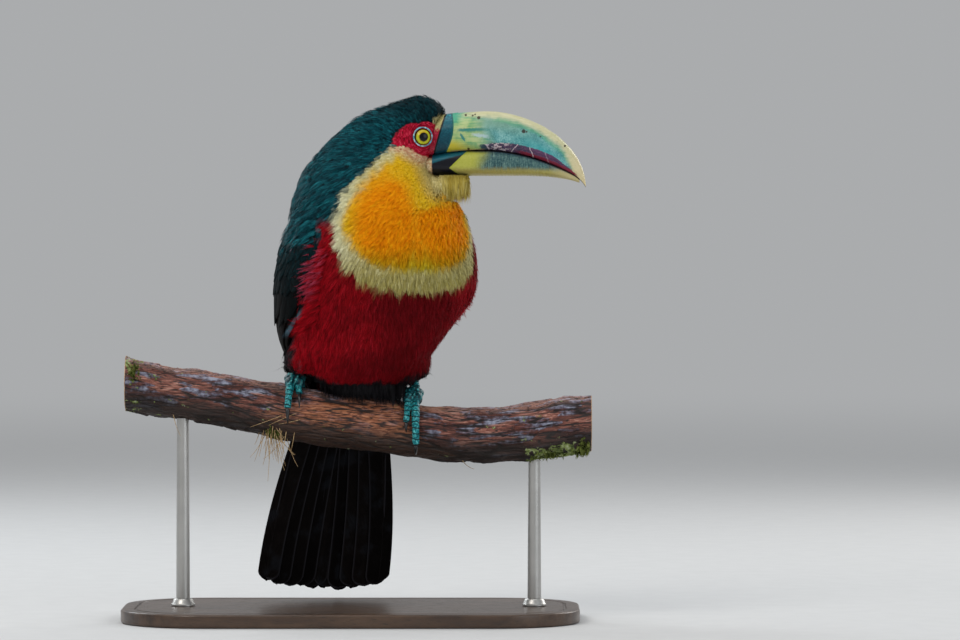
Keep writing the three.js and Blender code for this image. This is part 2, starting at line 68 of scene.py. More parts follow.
# %% Headings and landmarks, in millimetres and degrees
BODY_HEADING = math.radians(-72)
HEAD_HEADING = math.radians(-4)
HEAD_COS, HEAD_SIN = math.cos(HEAD_HEADING), math.sin(HEAD_HEADING)
HEAD_PIVOT = np.array([49.4, -30.0])
EYE = {"x": 49.4, "z": 320.8, "side": 17.6, "radius": 6.6, "sunk": 4.1}
BILL_BASE = np.array([58.0, -30.0, 305.0])
TAIL_ROOT = np.array([-1.0, 28.0, 176.0])
TAIL_TIP = np.array([-23.5, 66.0, 16.0])
BODY_AXIS = {  # height: x and y of the middle of the body, neck and head
    150: (6, 4), 170: (7, -3), 202: (14, -14), 228: (19.5, -22.5), 255: (20, -26),
    276: (16.5, -27.5), 303: (13.5, -29.5), 328: (28.5, -30), 348: (47.5, -30),
}


def smooth(value, low=0, high=1):
    """0 below `low`, 1 above `high` and an S-curve between, for numbers or arrays."""
    run = np.clip((np.asarray(value, float) - low) / (high - low), 0, 1)
    return run * run * (3 - 2 * run)


def mix(low, high, part):
    return low + (high - low) * part


def unit(vectors):
    return vectors / np.maximum(np.linalg.norm(vectors, axis=-1, keepdims=True), 1e-12)


def on_head(x, side, z):
    """A place given as forward, sideways (the bird's left is positive) and up, in the frame."""
    ahead = x - HEAD_PIVOT[0]
    x = HEAD_PIVOT[0] + ahead * HEAD_COS - side * HEAD_SIN
    return np.array([x, HEAD_PIVOT[1] + ahead * HEAD_SIN + side * HEAD_COS, z])


def head_place(points):
    """How far forward and sideways on the head each place is."""
    ahead = points[:, 0] - HEAD_PIVOT[0]
    aside = points[:, 1] - HEAD_PIVOT[1]
    return HEAD_PIVOT[0] + ahead * HEAD_COS + aside * HEAD_SIN, aside * HEAD_COS - ahead * HEAD_SIN


def body_axis(z):
    heights = sorted(BODY_AXIS)
    return np.stack([np.interp(z, heights, [BODY_AXIS[h][i] for h in heights]) for i in (0, 1)], -1)


print("bill tip is", round(float(np.linalg.norm(on_head(155.8, 0, 287) - BILL_BASE)), 1), "mm from its root")


# %% [markdown]
# ## Camera, light and floor
#
# A long lens a few metres away flattens the bird, as field glasses do.
# Four large soft lamps stand round it, so every side is lit and no shadow is hard:
# a key from high on the left, a fill from the right, a lamp behind that draws the edge, and one overhead.
# The floor is one wide pale disc that fades into the colour of the world, so that no horizon shows.

# %% Camera
CAMERA = {"distance": 3.5, "elevation": 1.2, "aim": (0.0858, -0.03, 0.2002), "lens": 198.9}


def aimed(thing, place, aim):
    """Puts a camera or lamp at a place and points it at another."""
    thing.location = place
    thing.rotation_euler = (Vector(aim) - Vector(place)).to_track_quat("-Z", "Y").to_euler()


rise = math.radians(CAMERA["elevation"])
view_from = Vector(CAMERA["aim"]) + CAMERA["distance"] * Vector((0, -math.cos(rise), math.sin(rise)))
bpy.ops.object.camera_add()
camera = bpy.context.object
camera.data.lens = CAMERA["lens"]
camera.data.sensor_width = 36
camera.data.clip_end = 50
aimed(camera, view_from, CAMERA["aim"])
bpy.context.scene.camera = camera
print("camera at", [round(c, 3) for c in view_from])

# %% Lamps and world
LAMPS = {  # name: place, width, watts, colour
    "key": ((-0.9, -1.3, 1.5), 0.9, 15, (1, 0.96, 0.9)),
    "fill": ((1.3, -1.2, 0.7), 1.1, 6, (0.9, 0.96, 1)),
    "rim_left": ((-1.1, 1, 1.1), 0.8, 10, (0.92, 0.97, 1)),
    "rim_right": ((1.2, 1.1, 0.9), 0.8, 8, (1, 0.98, 0.95)),
    "overhead": ((0.1, 0, 1.7), 1.2, 7, (0.97, 0.99, 1)),
}
for name, (place, width, watts, colour) in LAMPS.items():
    bpy.ops.object.light_add(type="AREA")
    lamp = bpy.context.object
    lamp.name = "lamp_" + name
    lamp.data.size = width
    lamp.data.energy = watts
    lamp.data.color = colour
    aimed(lamp, place, (0.02, -0.02, 0.22))

WORLD_COLOUR = (0.72, 0.735, 0.75)
WORLD_STRENGTH = 0.56
world = bpy.data.worlds.new("studio")
world.use_nodes = True
world.node_tree.nodes["Background"].inputs["Color"].default_value = (*WORLD_COLOUR, 1)
world.node_tree.nodes["Background"].inputs["Strength"].default_value = WORLD_STRENGTH
bpy.context.scene.world = world
bpy.context.scene.view_settings.view_transform = "Standard"
print("lamps:", len(LAMPS))


# %% [markdown]
# ## Writing materials as sums
#
# A material is a graph of nodes, but a formula is easier to read.
# `Wire` stands for one output of a node: adding or multiplying wires adds Math nodes.
# `Paint` is a material being made: `node` adds any other node, and `blend` mixes two colours.
# Places are read from Object coordinates and turned to millimetres once, in `Paint.place`.

# %% Wire and Paint
class Wire:
    """One output of a node, that can be used like a number."""

    def __init__(self, paint, socket):
        self.paint = paint
        self.socket = socket

    def math(self, operation, *parts):
        return self.paint.node("Math", {"operation": operation}, dict(enumerate(parts)))

    def __add__(self, other):
        return self.math("ADD", self, other)

    def __sub__(self, other):
        return self.math("SUBTRACT", self, other)

    def __rsub__(self, other):
        return self.math("SUBTRACT", other, self)

    def __mul__(self, other):
        return self.math("MULTIPLY", self, other)

    def __truediv__(self, other):
        return self.math("DIVIDE", self, other)

    def __pow__(self, other):
        return self.math("POWER", self, other)

    __radd__ = __add__
    __rmul__ = __mul__

    def least(self, other):
        return self.math("MINIMUM", self, other)

    def most(self, other):
        return self.math("MAXIMUM", self, other)

    def size(self):
        return self.math("ABSOLUTE", self)

    def step(self, low, high):
        """0 at `low` and 1 at `high`, with an S-curve between; `low` may be the larger."""
        settings = {"interpolation_type": "SMOOTHSTEP", "clamp": True}
        if low < high:
            return self.paint.node("MapRange", settings, {0: self, 1: low, 2: high, 3: 0, 4: 1})
        return self.paint.node("MapRange", settings, {0: self, 1: high, 2: low, 3: 1, 4: 0})


class Paint:
    """A material being made, with its shader's constants set first."""

    def __init__(self, name, **constants):
        self.material = bpy.data.materials.new(name)
        self.material.use_nodes = True
        self.tree = self.material.node_tree
        self.shader = self.tree.nodes["Principled BSDF"]
        for title, value in constants.items():
            self.feed(self.shader.inputs[title.replace("_", " ")], value)
        place = self.node("TexCoord", output="Object")
        self.place = self.vector("SCALE", place, Scale=1 / MM)
        self.x, self.y, self.z = self.split(self.place)

    def feed(self, socket, value):
        if isinstance(value, Wire):
            self.tree.links.new(value.socket, socket)
        elif isinstance(value, tuple) and len(value) == 3 and socket.type == "RGBA":
            socket.default_value = (*value, 1)
        else:
            socket.default_value = value

    def node(self, kind, settings=None, values=None, output=0):
        made = self.tree.nodes.new("ShaderNode" + kind)
        for title, value in (settings or {}).items():
            setattr(made, title, value)
        for title, value in (values or {}).items():
            self.feed(made.inputs[title], value)
        return Wire(self, made.outputs[output])

    def vector(self, operation, first, second=None, **more):
        values = {0: first, **more}
        if second is not None:
            values[1] = second
        return self.node("VectorMath", {"operation": operation}, values)

    def split(self, vector):
        first = self.node("SeparateXYZ", values={0: vector})
        outputs = first.socket.node.outputs
        return [Wire(self, outputs[i]) for i in range(3)]

    def stretched(self, x, y, z):
        """The place in millimetres, divided by a length along each axis, for stretched patterns."""
        return self.vector("DIVIDE", self.place, (x, y, z))

    def noise(self, scale, vector=None, detail=3, roughness=0.5):
        values = {"Vector": vector or self.place, "Scale": scale, "Detail": detail, "Roughness": roughness}
        return self.node("TexNoise", None, values)

    def cells(self, scale):
        """Distance to the edge between the cells of a crazed pattern."""
        values = {"Vector": self.place, "Scale": scale}
        return self.node("TexVoronoi", {"feature": "DISTANCE_TO_EDGE"}, values)

    def attribute(self, name, output=0):
        return self.node("Attribute", {"attribute_name": name}, output=output)

    def blend(self, factor, first, second, mode="MIX"):
        settings = {"data_type": "RGBA", "blend_type": mode}
        return self.node("Mix", settings, {0: factor, 6: first, 7: second}, 2)

    def coats(self, colour, *coats):
        """Lays coats over a colour in turn, each given as how much of it shows and its own colour."""
        for share, coat in coats:
            colour = self.blend(share, colour, coat)
        return colour

    def ramp(self, factor, stops):
        """Colours along a scale from 0 to 1, given as (place, colour)."""
        made = self.tree.nodes.new("ShaderNodeValToRGB")
        while len(made.color_ramp.elements) < len(stops):
            made.color_ramp.elements.new(0.5)
        for element, (place, colour) in zip(made.color_ramp.elements, stops):
            element.position = place
            element.color = (*colour, 1)
        self.feed(made.inputs[0], factor)
        return Wire(self, made.outputs[0])

    def finish(self, colour, roughness=None, height=None, depth=0.2):
        """Feeds the shader: colour, roughness, and a height field in units of `depth` millimetres."""
        self.feed(self.shader.inputs["Base Color"], colour)
        if roughness is not None:
            self.feed(self.shader.inputs["Roughness"], roughness)
        if height is not None:
            values = {"Height": height, "Strength": 1, "Distance": depth * MM}
            self.feed(self.shader.inputs["Normal"], self.node("Bump", None, values))
        return self.material


print("inputs of the shader:", len(Paint("trial").shader.inputs))

# %% Floor
FLOOR_RADIUS = 14
FLOOR_PLACE = (0, 0, -0.0002)
bpy.ops.mesh.primitive_circle_add(vertices=96, radius=FLOOR_RADIUS, fill_type="NGON", location=FLOOR_PLACE)
floor = bpy.context.object
floor.name = "floor"
bpy.ops.object.transform_apply(location=True, rotation=False, scale=False)
paint = Paint("studio_floor", Roughness=0.85, Specular_IOR_Level=0.15)
far_out = (paint.x * paint.x + paint.y * paint.y) ** 0.5 * MM
grain = paint.noise(0.05, detail=4)
pale = paint.blend(grain, (0.6, 0.605, 0.61), (0.66, 0.665, 0.67))
glow = paint.node("Emission", None, {"Color": WORLD_COLOUR, "Strength": WORLD_STRENGTH})
lit = Wire(paint, paint.shader.outputs[0])
away = paint.node("MixShader", None, {0: far_out.step(0.6, 4.5), 1: lit, 2: glow})
paint.tree.links.new(away.socket, paint.tree.nodes["Material Output"].inputs["Surface"])
floor.data.materials.append(paint.finish(pale))
print("floor radius:", FLOOR_RADIUS, "m")


# %% [markdown]
# ## Working with meshes
#
# Some shapes are modelled with Blender's own operators, as by hand, and some grow from the solids.
# A copy of a solid has its doubled corners merged first, because a solid is stored as loose triangles.
# Large soft forms are then poured into voxels, which melts the joints between the solids away.
# `places` and `put` read and write all corners of a mesh at once, in millimetres.

# %% Mesh helpers
PIECES = []  # (object, slot, nodes that it stands for)


def keep(piece, material, slot, *nodes):
    """Takes a finished piece into the model: name, material, slot and the solids that it replaces."""
    piece.data.materials.clear()
    piece.data.materials.append(material)
    piece.data.shade_smooth()
    PIECES.append((piece, slot, nodes))
    print(f"{piece.name}: {len(piece.data.polygons)} faces")
    return piece


def add_object(name, mesh):
    made = bpy.data.objects.new(name, mesh)
    bpy.context.scene.collection.objects.link(made)
    return made


def select_only(piece):
    bpy.ops.object.select_all(action="DESELECT")
    piece.select_set(True)
    bpy.context.view_layer.objects.active = piece


def merged_copy(name, *nodes):
    """A new mesh of one or more solids, with doubled corners merged."""
    shape = bmesh.new()
    for node in nodes:
        shape.from_mesh(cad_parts[node].data)
    bmesh.ops.remove_doubles(shape, verts=shape.verts, dist=1e-6)
    mesh = bpy.data.meshes.new(name)
    shape.to_mesh(mesh)
    shape.free()
    return add_object(name, mesh)


def apply(piece, kind, **settings):
    """Adds a modifier and applies it at once."""
    select_only(piece)
    modifier = piece.modifiers.new(kind.lower(), kind)
    for title, value in settings.items():
        setattr(modifier, title, value)
    bpy.ops.object.modifier_apply(modifier=modifier.name)
    return piece


def remesh(piece, voxel, swell, rounds):
    """Pours a closed shape into voxels, after swelling it by some millimetres, and relaxes the steps."""
    apply(piece, "DISPLACE", strength=swell * MM, mid_level=0)
    apply(piece, "REMESH", mode="VOXEL", voxel_size=voxel * MM)
    apply(piece, "SMOOTH", factor=0.5, iterations=rounds)


def in_edit_mode(piece, *steps):
    """Selects all of a piece in edit mode and runs some steps there."""
    select_only(piece)
    bpy.ops.object.mode_set(mode="EDIT")
    bpy.ops.mesh.select_all(action="SELECT")
    for step in steps:
        step()
    bpy.ops.object.mode_set(mode="OBJECT")


@contextmanager
def opened(piece):
    """Opens the mesh of a piece for the bmesh tools, and writes it back afterwards."""
    shape = bmesh.new()
    shape.from_mesh(piece.data)
    yield shape
    shape.to_mesh(piece.data)
    shape.free()


def whole(shape):
    return shape.verts[:] + shape.edges[:] + shape.faces[:]


def numbers(collection, title, width):
    values = np.empty(len(collection) * width, np.float32)
    collection.foreach_get(title, values)
    return values.reshape(-1, width).astype(float) if width > 1 else values.astype(float)


def places(piece):
    return numbers(piece.data.vertices, "co", 3) / MM


def outward(piece):
    return numbers(piece.data.vertices, "normal", 3)


def put(piece, points):
    piece.data.vertices.foreach_set("co", (points * MM).astype(np.float32).ravel())
    piece.data.update()


def store(piece, name, values):
    """Keeps one colour or number for each corner of a mesh under a name that materials can read."""
    wide = values.ndim == 2
    made = piece.data.attributes.new(name, "FLOAT_COLOR" if wide else "FLOAT", "POINT")
    made.data.foreach_set("color" if wide else "value", values.astype(np.float32).ravel())


def waves(points, size, seed, count=7):
    """Smooth noise from about -1 to 1: a sum of waves about `size` millimetres long in many directions."""
    draw = np.random.default_rng(seed)
    lengths = size * draw.uniform(0.65, 1.5, count)
    ways = unit(draw.normal(size=(count, 3))) * (2 * np.pi / lengths)[:, None]
    return np.sin(points @ ways.T + draw.uniform(0, 2 * np.pi, count)).sum(1) / (1.2 * count**0.5)


def tree_of(piece):
    """A search tree over a mesh, in metres, for nearest points and inside tests."""
    faces = [tuple(face.vertices) for face in piece.data.polygons]
    return BVHTree.FromPolygons([v.co.copy() for v in piece.data.vertices], faces)


def nearest(tree, points):
    """For each place in millimetres: the nearest surface place, its normal, and how far outside it is."""
    spots = np.empty_like(points)
    normals = np.empty_like(points)
    for i, point in enumerate(points * MM):
        spot, normal, _, _ = tree.find_nearest(point)
        spots[i] = spot
        normals[i] = normal
    spots /= MM
    return spots, normals, ((points - spots) * normals).sum(1)


print("helpers ready")


# %% [markdown]
# ## The display stand
#
# A museum base is a slab of dark oiled wood with long rounded ends and a soft edge.
# It is modelled as a joiner would: a block, its corners rounded, its edges bevelled, and a shallow groove
# inside the rim so that the light catches a line. The rods are turned steel with a collar at the foot.

# %% Base
BASE = {"length": 304, "width": 156, "height": 9, "corner": 56, "edge": 1.6, "rim": 7, "groove": 1.1}
bpy.ops.mesh.primitive_cube_add(size=1, location=(0, 0, BASE["height"] / 2 * MM))
base = bpy.context.object
base.name = "stand_base_wood"
base.scale = (BASE["length"] * MM, BASE["width"] * MM, BASE["height"] * MM)
bpy.ops.object.transform_apply(location=True, rotation=True, scale=True)
with opened(base) as shape:
    upright = [edge for edge in shape.edges if abs(edge.verts[0].co.z - edge.verts[1].co.z) > MM]
    bmesh.ops.bevel(shape, geom=upright, offset=BASE["corner"] * MM, segments=24, affect="EDGES", profile=0.5)
    around = list({edge for face in shape.faces if abs(face.normal.z) > 0.9 for edge in face.edges})
    bmesh.ops.bevel(shape, geom=around, offset=BASE["edge"] * MM, segments=4, affect="EDGES", profile=0.5)
    lid = max(shape.faces, key=lambda face: (round(face.calc_center_median().z, 6), face.calc_area()))
    for inward, drop in ((BASE["rim"], 0), (0.5, -BASE["groove"]), (1.4, 0), (0.5, BASE["groove"])):
        bmesh.ops.inset_region(shape, faces=[lid], thickness=inward * MM, use_even_offset=True)
        bmesh.ops.translate(shape, verts=lid.verts, vec=(0, 0, drop * MM))

paint = Paint("oiled_walnut", Coat_Weight=0.25, Coat_Roughness=0.25)
warp = paint.noise(0.02, detail=2)
sway = paint.vector("SCALE", paint.place, Scale=0.004)
ring_place = paint.vector("ADD", paint.stretched(90, 6, 14), sway)
rings = paint.noise(1, ring_place, 6, 0.6)
pores = paint.noise(1, paint.stretched(7, 0.35, 0.35), 2).step(0.58, 0.7)
wood = paint.ramp(rings + (warp - 0.5) * 0.3, [
    (0.25, (0.02, 0.01, 0.006)), (0.45, (0.055, 0.028, 0.015)), (0.6, (0.085, 0.046, 0.025)),
    (0.78, (0.042, 0.021, 0.012)),
])
wood = paint.blend(pores * 0.6, wood, (0.01, 0.006, 0.004))
keep(base, paint.finish(wood, 0.36 + pores * 0.2, rings * 0.5 - pores, 0.12), "stand_base", "stand_base")
select_only(base)
bpy.ops.object.shade_smooth_by_angle(angle=math.radians(30))

# %% Rods
ROD_RADIUS = 4
COLLAR = [(8, 0), (8, 1.1), (7.4, 1.8), (6.6, 4), (5.9, 4.7), (4.6, 5), (4, 5)]  # radius, height
COLLAR_FOOT = 7.7
paint = Paint("brushed_steel", Metallic=1)
turned = paint.noise(1, paint.stretched(60, 60, 0.18), 3)
smudge = paint.noise(0.06, detail=4)
steel = paint.blend(smudge, (0.42, 0.415, 0.4), (0.56, 0.55, 0.53))
STEEL = paint.finish(steel, 0.26 + turned * 0.14 + smudge * 0.06, turned, 0.03)
for node in ("stand_rod_left", "stand_rod_right"):
    low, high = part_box(node)
    middle = (low.x + high.x) / 2
    bpy.ops.mesh.primitive_cylinder_add(vertices=48, radius=ROD_RADIUS * MM, depth=1, end_fill_type="NGON")
    rod = bpy.context.object
    rod.name = node + "_steel"
    with opened(rod) as shape:
        for vert in shape.verts:
            vert.co = Vector((vert.co.x + middle, vert.co.y, low.z if vert.co.z < 0 else high.z + 0.0006))
        for radius, height in COLLAR:
            level = (0, 0, low.z + (height + 0.02) * MM)
            cut = bmesh.ops.bisect_plane(shape, geom=whole(shape), plane_co=level, plane_no=(0, 0, 1))
            for vert in (v for v in cut["geom_cut"] if isinstance(v, bmesh.types.BMVert)):
                way = Vector((vert.co.x - middle, vert.co.y, 0)).normalized()
                vert.co.x = middle + way.x * radius * MM
                vert.co.y = way.y * radius * MM
        for vert in shape.verts:
            if vert.co.z < low.z + 1e-6:
                way = Vector((vert.co.x - middle, vert.co.y, 0)).normalized() * COLLAR_FOOT * MM
                vert.co = Vector((middle + way.x, way.y, low.z))
    keep(rod, STEEL, "stand_metal", node)
    select_only(rod)
    bpy.ops.object.shade_smooth_by_angle(angle=math.radians(35))


# %% [markdown]
# ## The perch
#
# The perch is a weathered limb: reddish wood under bark that has cracked lengthwise and flaked away.
# A flat grid is wrapped round the line of the branch, so the rows of faces run along the grain.
# Layers of stretched noise then move its corners: broad swellings, long cracks, loose plates.
# The same layers are stored on the mesh, so the colour knows which corner is crack, bare wood or bark, and how
# far it faces up, for painted shade in the cracks and underneath and a painted highlight along the top.

# %% Shape of the branch
PERCH = {"from": -150, "to": 160, "flat": 0.98}
BRANCH = [  # along X, height of the middle, radius
    (-160, 159, 18.6), (-118, 151, 17.4), (-82, 145.6, 17.5), (-45, 138, 18.5), (-20, 133.8, 18.3),
    (16, 129.8, 18.7), (40, 126.4, 18.5), (65, 123.2, 18.4), (89, 122.6, 18.8), (113, 124.4, 19.3),
    (138, 128, 19.8), (165, 131.6, 19.2),
]


def curve_through(rows, key):
    """The values that go with a key, on smooth curves through rows of (key, value, value, ...)."""
    rows = np.asarray(rows, float)
    keys, values = rows[:, 0], rows[:, 1:]
    slopes = np.gradient(values, keys, axis=0)
    i = np.clip(np.searchsorted(keys, key) - 1, 0, len(keys) - 2)
    wide = (keys[i + 1] - keys[i])[:, None]
    t = np.clip((key - keys[i])[:, None] / wide, 0, 1)
    start = (1 + 2 * t) * (1 - t) ** 2 * values[i] + t * (1 - t) ** 2 * wide * slopes[i]
    end = t * t * (3 - 2 * t) * values[i + 1] + t * t * (t - 1) * wide * slopes[i + 1]
    return (start + end).T


def branch_at(x):
    """Height of the branch's middle, and its radius."""
    return curve_through(BRANCH, x)


def knots(x, turn):
    return 0.5 * np.sin(x * 0.11 + 3 * turn) + 0.35 * np.sin(x * 0.23 - 2 * turn)


def on_branch(x, turn, lift=0):
    """A place on the branch: `turn` is 0 on top and a quarter turn at the back."""
    z, radius = branch_at(x)
    reach = radius + knots(x, turn) + lift
    return np.stack([x, PERCH["flat"] * reach * np.sin(turn), z + reach * np.cos(turn)], -1)


def ridges(points, size, seed):
    """Sharp valleys: near 1 along thin wandering lines, 0 elsewhere."""
    return 1 - np.clip(np.abs(waves(points, size, seed, 9)) * 2.6, 0, 1)


ALONG, ROUND = 420, 168
bpy.ops.mesh.primitive_grid_add(x_subdivisions=ALONG, y_subdivisions=ROUND, size=2)
perch = bpy.context.object
perch.name = "perch_bark"
flat = numbers(perch.data.vertices, "co", 3)
turn = flat[:, 1] * np.pi
x = mix(PERCH["from"], PERCH["to"], (flat[:, 0] + 1) / 2)
round_place = np.stack([x, 18 * np.sin(turn), 18 * np.cos(turn)], -1)
grain_place = round_place / np.array([7.0, 1.0, 1.0])
slow = round_place / np.array([2.2, 1.0, 1.0])
swell = 0.3 * waves(slow, 21, 11) + 0.16 * waves(slow, 8, 12)
plates = waves(slow, 13, 13, 11) + 0.55 * waves(grain_place, 3.2, 14) + 0.3 * np.cos(turn)
plates = smooth(plates, -0.02, 0.1)
cracks = np.maximum(ridges(grain_place, 6.5, 15), 0.85 * ridges(grain_place, 3.4, 16)) ** 1.3
fibres = waves(grain_place, 1.15, 17, 9)
grit = waves(round_place, 1.7, 18, 9)
bare = np.exp(-(((x - 8) / 62) ** 2)) * 1.15 + 0.4 * waves(slow, 30, 19) - 0.1 * np.cos(turn)
bare = smooth(bare, 0.5, 0.75)
bark = plates * (1 - 0.75 * bare)
height = swell + 0.95 * bark - 0.85 * cracks * (0.45 + 0.55 * bark) + 0.16 * fibres + 0.14 * grit * bark - 0.6
put(perch, on_branch(x, turn, height))
# the fourth layer, how far each corner faces up, places a painted highlight on top and painted shade underneath
store(perch, "bark", np.stack([bark, cracks, bare, 0.5 + 0.5 * np.cos(turn)], -1))
in_edit_mode(perch, lambda: bpy.ops.mesh.remove_doubles(threshold=0.00002))

SAWN_RINGS = (17.205, 14.8, 11.1, 7.4, 3.7)  # radii of the rings of faces on a sawn end
with opened(perch) as shape:
    for end in (PERCH["from"], PERCH["to"]):
        rim = [edge for edge in shape.edges if edge.is_boundary
               and all(abs(vert.co.x / MM - end) < 0.5 for vert in edge.verts)]
        face = bmesh.ops.contextual_create(shape, geom=rim)["faces"][0]
        middle = face.calc_center_median()
        for wanted in SAWN_RINGS:
            bmesh.ops.inset_region(shape, faces=[face], thickness=0)
            for vert in face.verts:
                reach = (vert.co - middle).length / MM
                if reach > wanted:
                    vert.co = middle + (vert.co - middle) * (wanted / reach)
        bmesh.ops.poke(shape, faces=[face])
    bmesh.ops.recalc_face_normals(shape, faces=shape.faces)

# %% Bark, bare wood, cracks and lichen, with painted shade and a painted highlight
paint = Paint("weathered_limb")
bark, crack, bare = paint.split(paint.attribute("bark"))
fine = paint.noise(1, paint.stretched(9, 0.55, 0.55), 5, 0.65)
mid = paint.noise(1, paint.stretched(26, 4.5, 4.5), 4, 0.55)
spots = paint.noise(0.35, detail=4)
worn = paint.ramp(fine * 0.55 + mid * 0.45, [
    (0.38, (0.018, 0.004, 0.003)), (0.46, (0.09, 0.022, 0.014)), (0.53, (0.23, 0.07, 0.045)),
    (0.62, (0.5, 0.26, 0.2)),
])
orange = paint.ramp(fine, [
    (0.38, (0.07, 0.016, 0.005)), (0.48, (0.28, 0.08, 0.026)), (0.6, (0.58, 0.24, 0.11)),
])
wood = paint.blend(bare * 0.75, worn, orange)
dusty = paint.ramp(mid * 0.6 + spots * 0.4, [
    (0.38, (0.012, 0.006, 0.007)), (0.46, (0.045, 0.027, 0.034)), (0.52, (0.1, 0.1, 0.145)),
    (0.62, (0.3, 0.33, 0.43)),
])
facing_up = paint.attribute("bark", 3)
wood = paint.coats(
    wood,
    (bark * (mid * 0.9 + 0.05).step(0.36, 0.54) * 0.95, dusty),
    # painted shade: the cracks near black, deep in their recesses
    (crack.step(0.22, 0.75) * 0.95, (0.005, 0.002, 0.002)),
    # painted highlight: paler, pinkish bark where the limb faces straight up
    (facing_up.step(0.86, 0.98) * fine.step(0.42, 0.56) * 0.5, (0.56, 0.31, 0.24)),
    # painted shade: near black where the limb faces down
    (facing_up.step(0.62, 0.22) * 0.92, (0.01, 0.005, 0.003)),
)
left_end = paint.x.step(-118, -150)
right_low = paint.x.step(106, 122) * paint.z.step(124, 112)
lichen_bed = paint.noise(0.16, detail=5, roughness=0.62)
pale_lichen = (lichen_bed + left_end * 0.1 + right_low * 0.22).step(0.65, 0.7)
lichen = paint.ramp(spots, [
    (0.35, (0.05, 0.075, 0.014)), (0.48, (0.17, 0.22, 0.05)), (0.58, (0.3, 0.36, 0.13)),
    (0.7, (0.46, 0.52, 0.33)),
])
sawn = (paint.x - 5).size().step(154.4, 154.8)
above = paint.z - 144 + (paint.x - 5) * 0.085
growth = (paint.y**2 + above**2) ** 0.5 * 1.9 + mid * 3
rings = growth.math("SINE", growth)
cut = paint.ramp(rings * 0.25 + 0.5, [
    (0.2, (0.33, 0.19, 0.1)), (0.6, (0.52, 0.34, 0.2)), (0.9, (0.6, 0.42, 0.27)),
])
wood = paint.coats(wood, (pale_lichen, lichen), (sawn, cut))
relief = fine * 0.7 + spots * 0.4 - crack * 0.5 + pale_lichen * paint.noise(1.6, detail=3)
BARK = paint.finish(wood, 0.62 + bark * 0.2 + pale_lichen * 0.1, relief, 0.5)
keep(perch, BARK, "bark", "perch_branch")


# %% [markdown]
# ## Feet and claws
#
# A toucan grips with two toes in front and two behind. Toes and shank wear a row of hard plates, the scutes,
# turquoise with dark gaps between. Each foot gets a fuller ball where the toes meet and is poured into fine
# voxels, so that the toes flow out of it. Then rings are pressed in: round the branch on the toes, and round
# the leg on the shank. The depth of each gap is stored, so the paint can darken it.

# %% Feet
SCUTE = 3.3  # length of one plate
FOOT_VOXEL = 0.42
SWELLINGS = {  # middles and half sizes: the ball of each foot, then the foot of its two front toes
    "right": [((-37.2, -4, 160.6), (7.2, 6, 4.4)), ((-40.2, -8.5, 158), (3.5, 4.6, 4.4)),
              ((-33.8, -8.5, 158), (3.3, 4.6, 4.2))],
    "left": [((41.2, -4.8, 151), (7.2, 6, 4.5)), ((38.3, -9, 147.8), (3.4, 5, 4.6)),
             ((43.8, -9, 147.8), (3.7, 5, 4.8))],
}


def fuller(piece, middle, size):
    """Adds an ellipsoid to a closed shape, for the voxels to melt into it."""
    with opened(piece) as shape:
        made = bmesh.ops.create_uvsphere(shape, u_segments=32, v_segments=20, radius=1)
        for vert in made["verts"]:
            vert.co = Vector([(m + s * c) * MM for m, s, c in zip(middle, size, vert.co)])


def gap_wave(distance):
    """0 on a plate and 1 in the gap between two plates."""
    phase = np.abs((distance / SCUTE) % 1 - 0.5) * 2
    return smooth(phase, 0.74, 0.96)


paint = Paint("turquoise_scutes", Specular_IOR_Level=0.25)
gap, row, fold = paint.split(paint.attribute("scutes"))
mottle = paint.noise(0.9, detail=4)
cellular = paint.cells(0.62)
teal = paint.ramp(mottle * 0.7 + row * 0.3 + (1 - row) * fold * 0.44, [
    (0.38, (0.0006, 0.016, 0.024)), (0.52, (0.0015, 0.062, 0.08)), (0.66, (0.006, 0.21, 0.24)),
    (0.78, (0.14, 0.6, 0.6)),
])
teal = paint.coats(
    teal,
    (gap.step(0.1, 0.6) * 0.95, (0.002, 0.006, 0.008)),
    ((1 - row) * cellular.step(0.2, 0.05) * 0.8, (0.003, 0.022, 0.028)),
)
relief = mottle * 0.3 - gap * 0.6 + cellular.step(0.02, 0.12) * (1 - row) * 0.5
SCUTES = paint.finish(teal, 0.36 + gap * 0.3, relief, 0.22)

for side in ("right", "left"):
    for part in ("foot", "shank"):
        node = f"{part}_{side}"
        piece = merged_copy(node + "_skin", node)
        if part == "foot":
            for middle, size in SWELLINGS[side]:
                fuller(piece, middle, size)
        remesh(piece, FOOT_VOXEL, swell=0.05, rounds=5)
        points = places(piece)
        normals = outward(piece)
        z, radius = branch_at(points[:, 0])
        turn = np.arctan2(points[:, 1], points[:, 2] - z)
        ring = turn * (radius + 2) + 0.25 * waves(points, 6, 31)
        if part == "shank":
            ring = (points[:, 2] + 0.35 * points[:, 1]) + 0.2 * waves(points, 5, 32)
        away = unit(np.stack([np.zeros(len(points)), points[:, 1], points[:, 2] - z], -1))
        on_ball = smooth(points[:, 2] - z - radius, 1, 3.5)
        front = smooth((normals * away).sum(1), -0.1, 0.5) * (1 - on_ball)
        if part == "shank":
            front = smooth(-normals[:, 1], -0.3, 0.3)
        gaps = gap_wave(ring) * front
        crown = (1 - gap_wave(ring)) * front
        folds = waves(points, 2.6, 33) * (1 - front) * 0.22
        put(piece, points + normals * (0.2 * crown - 0.16 * gaps + folds)[:, None])
        store(piece, "scutes", np.stack([gaps, front, 0.5 + folds * 2.2, 0 * front], -1))
        keep(piece, SCUTES, "foot_scale", node)

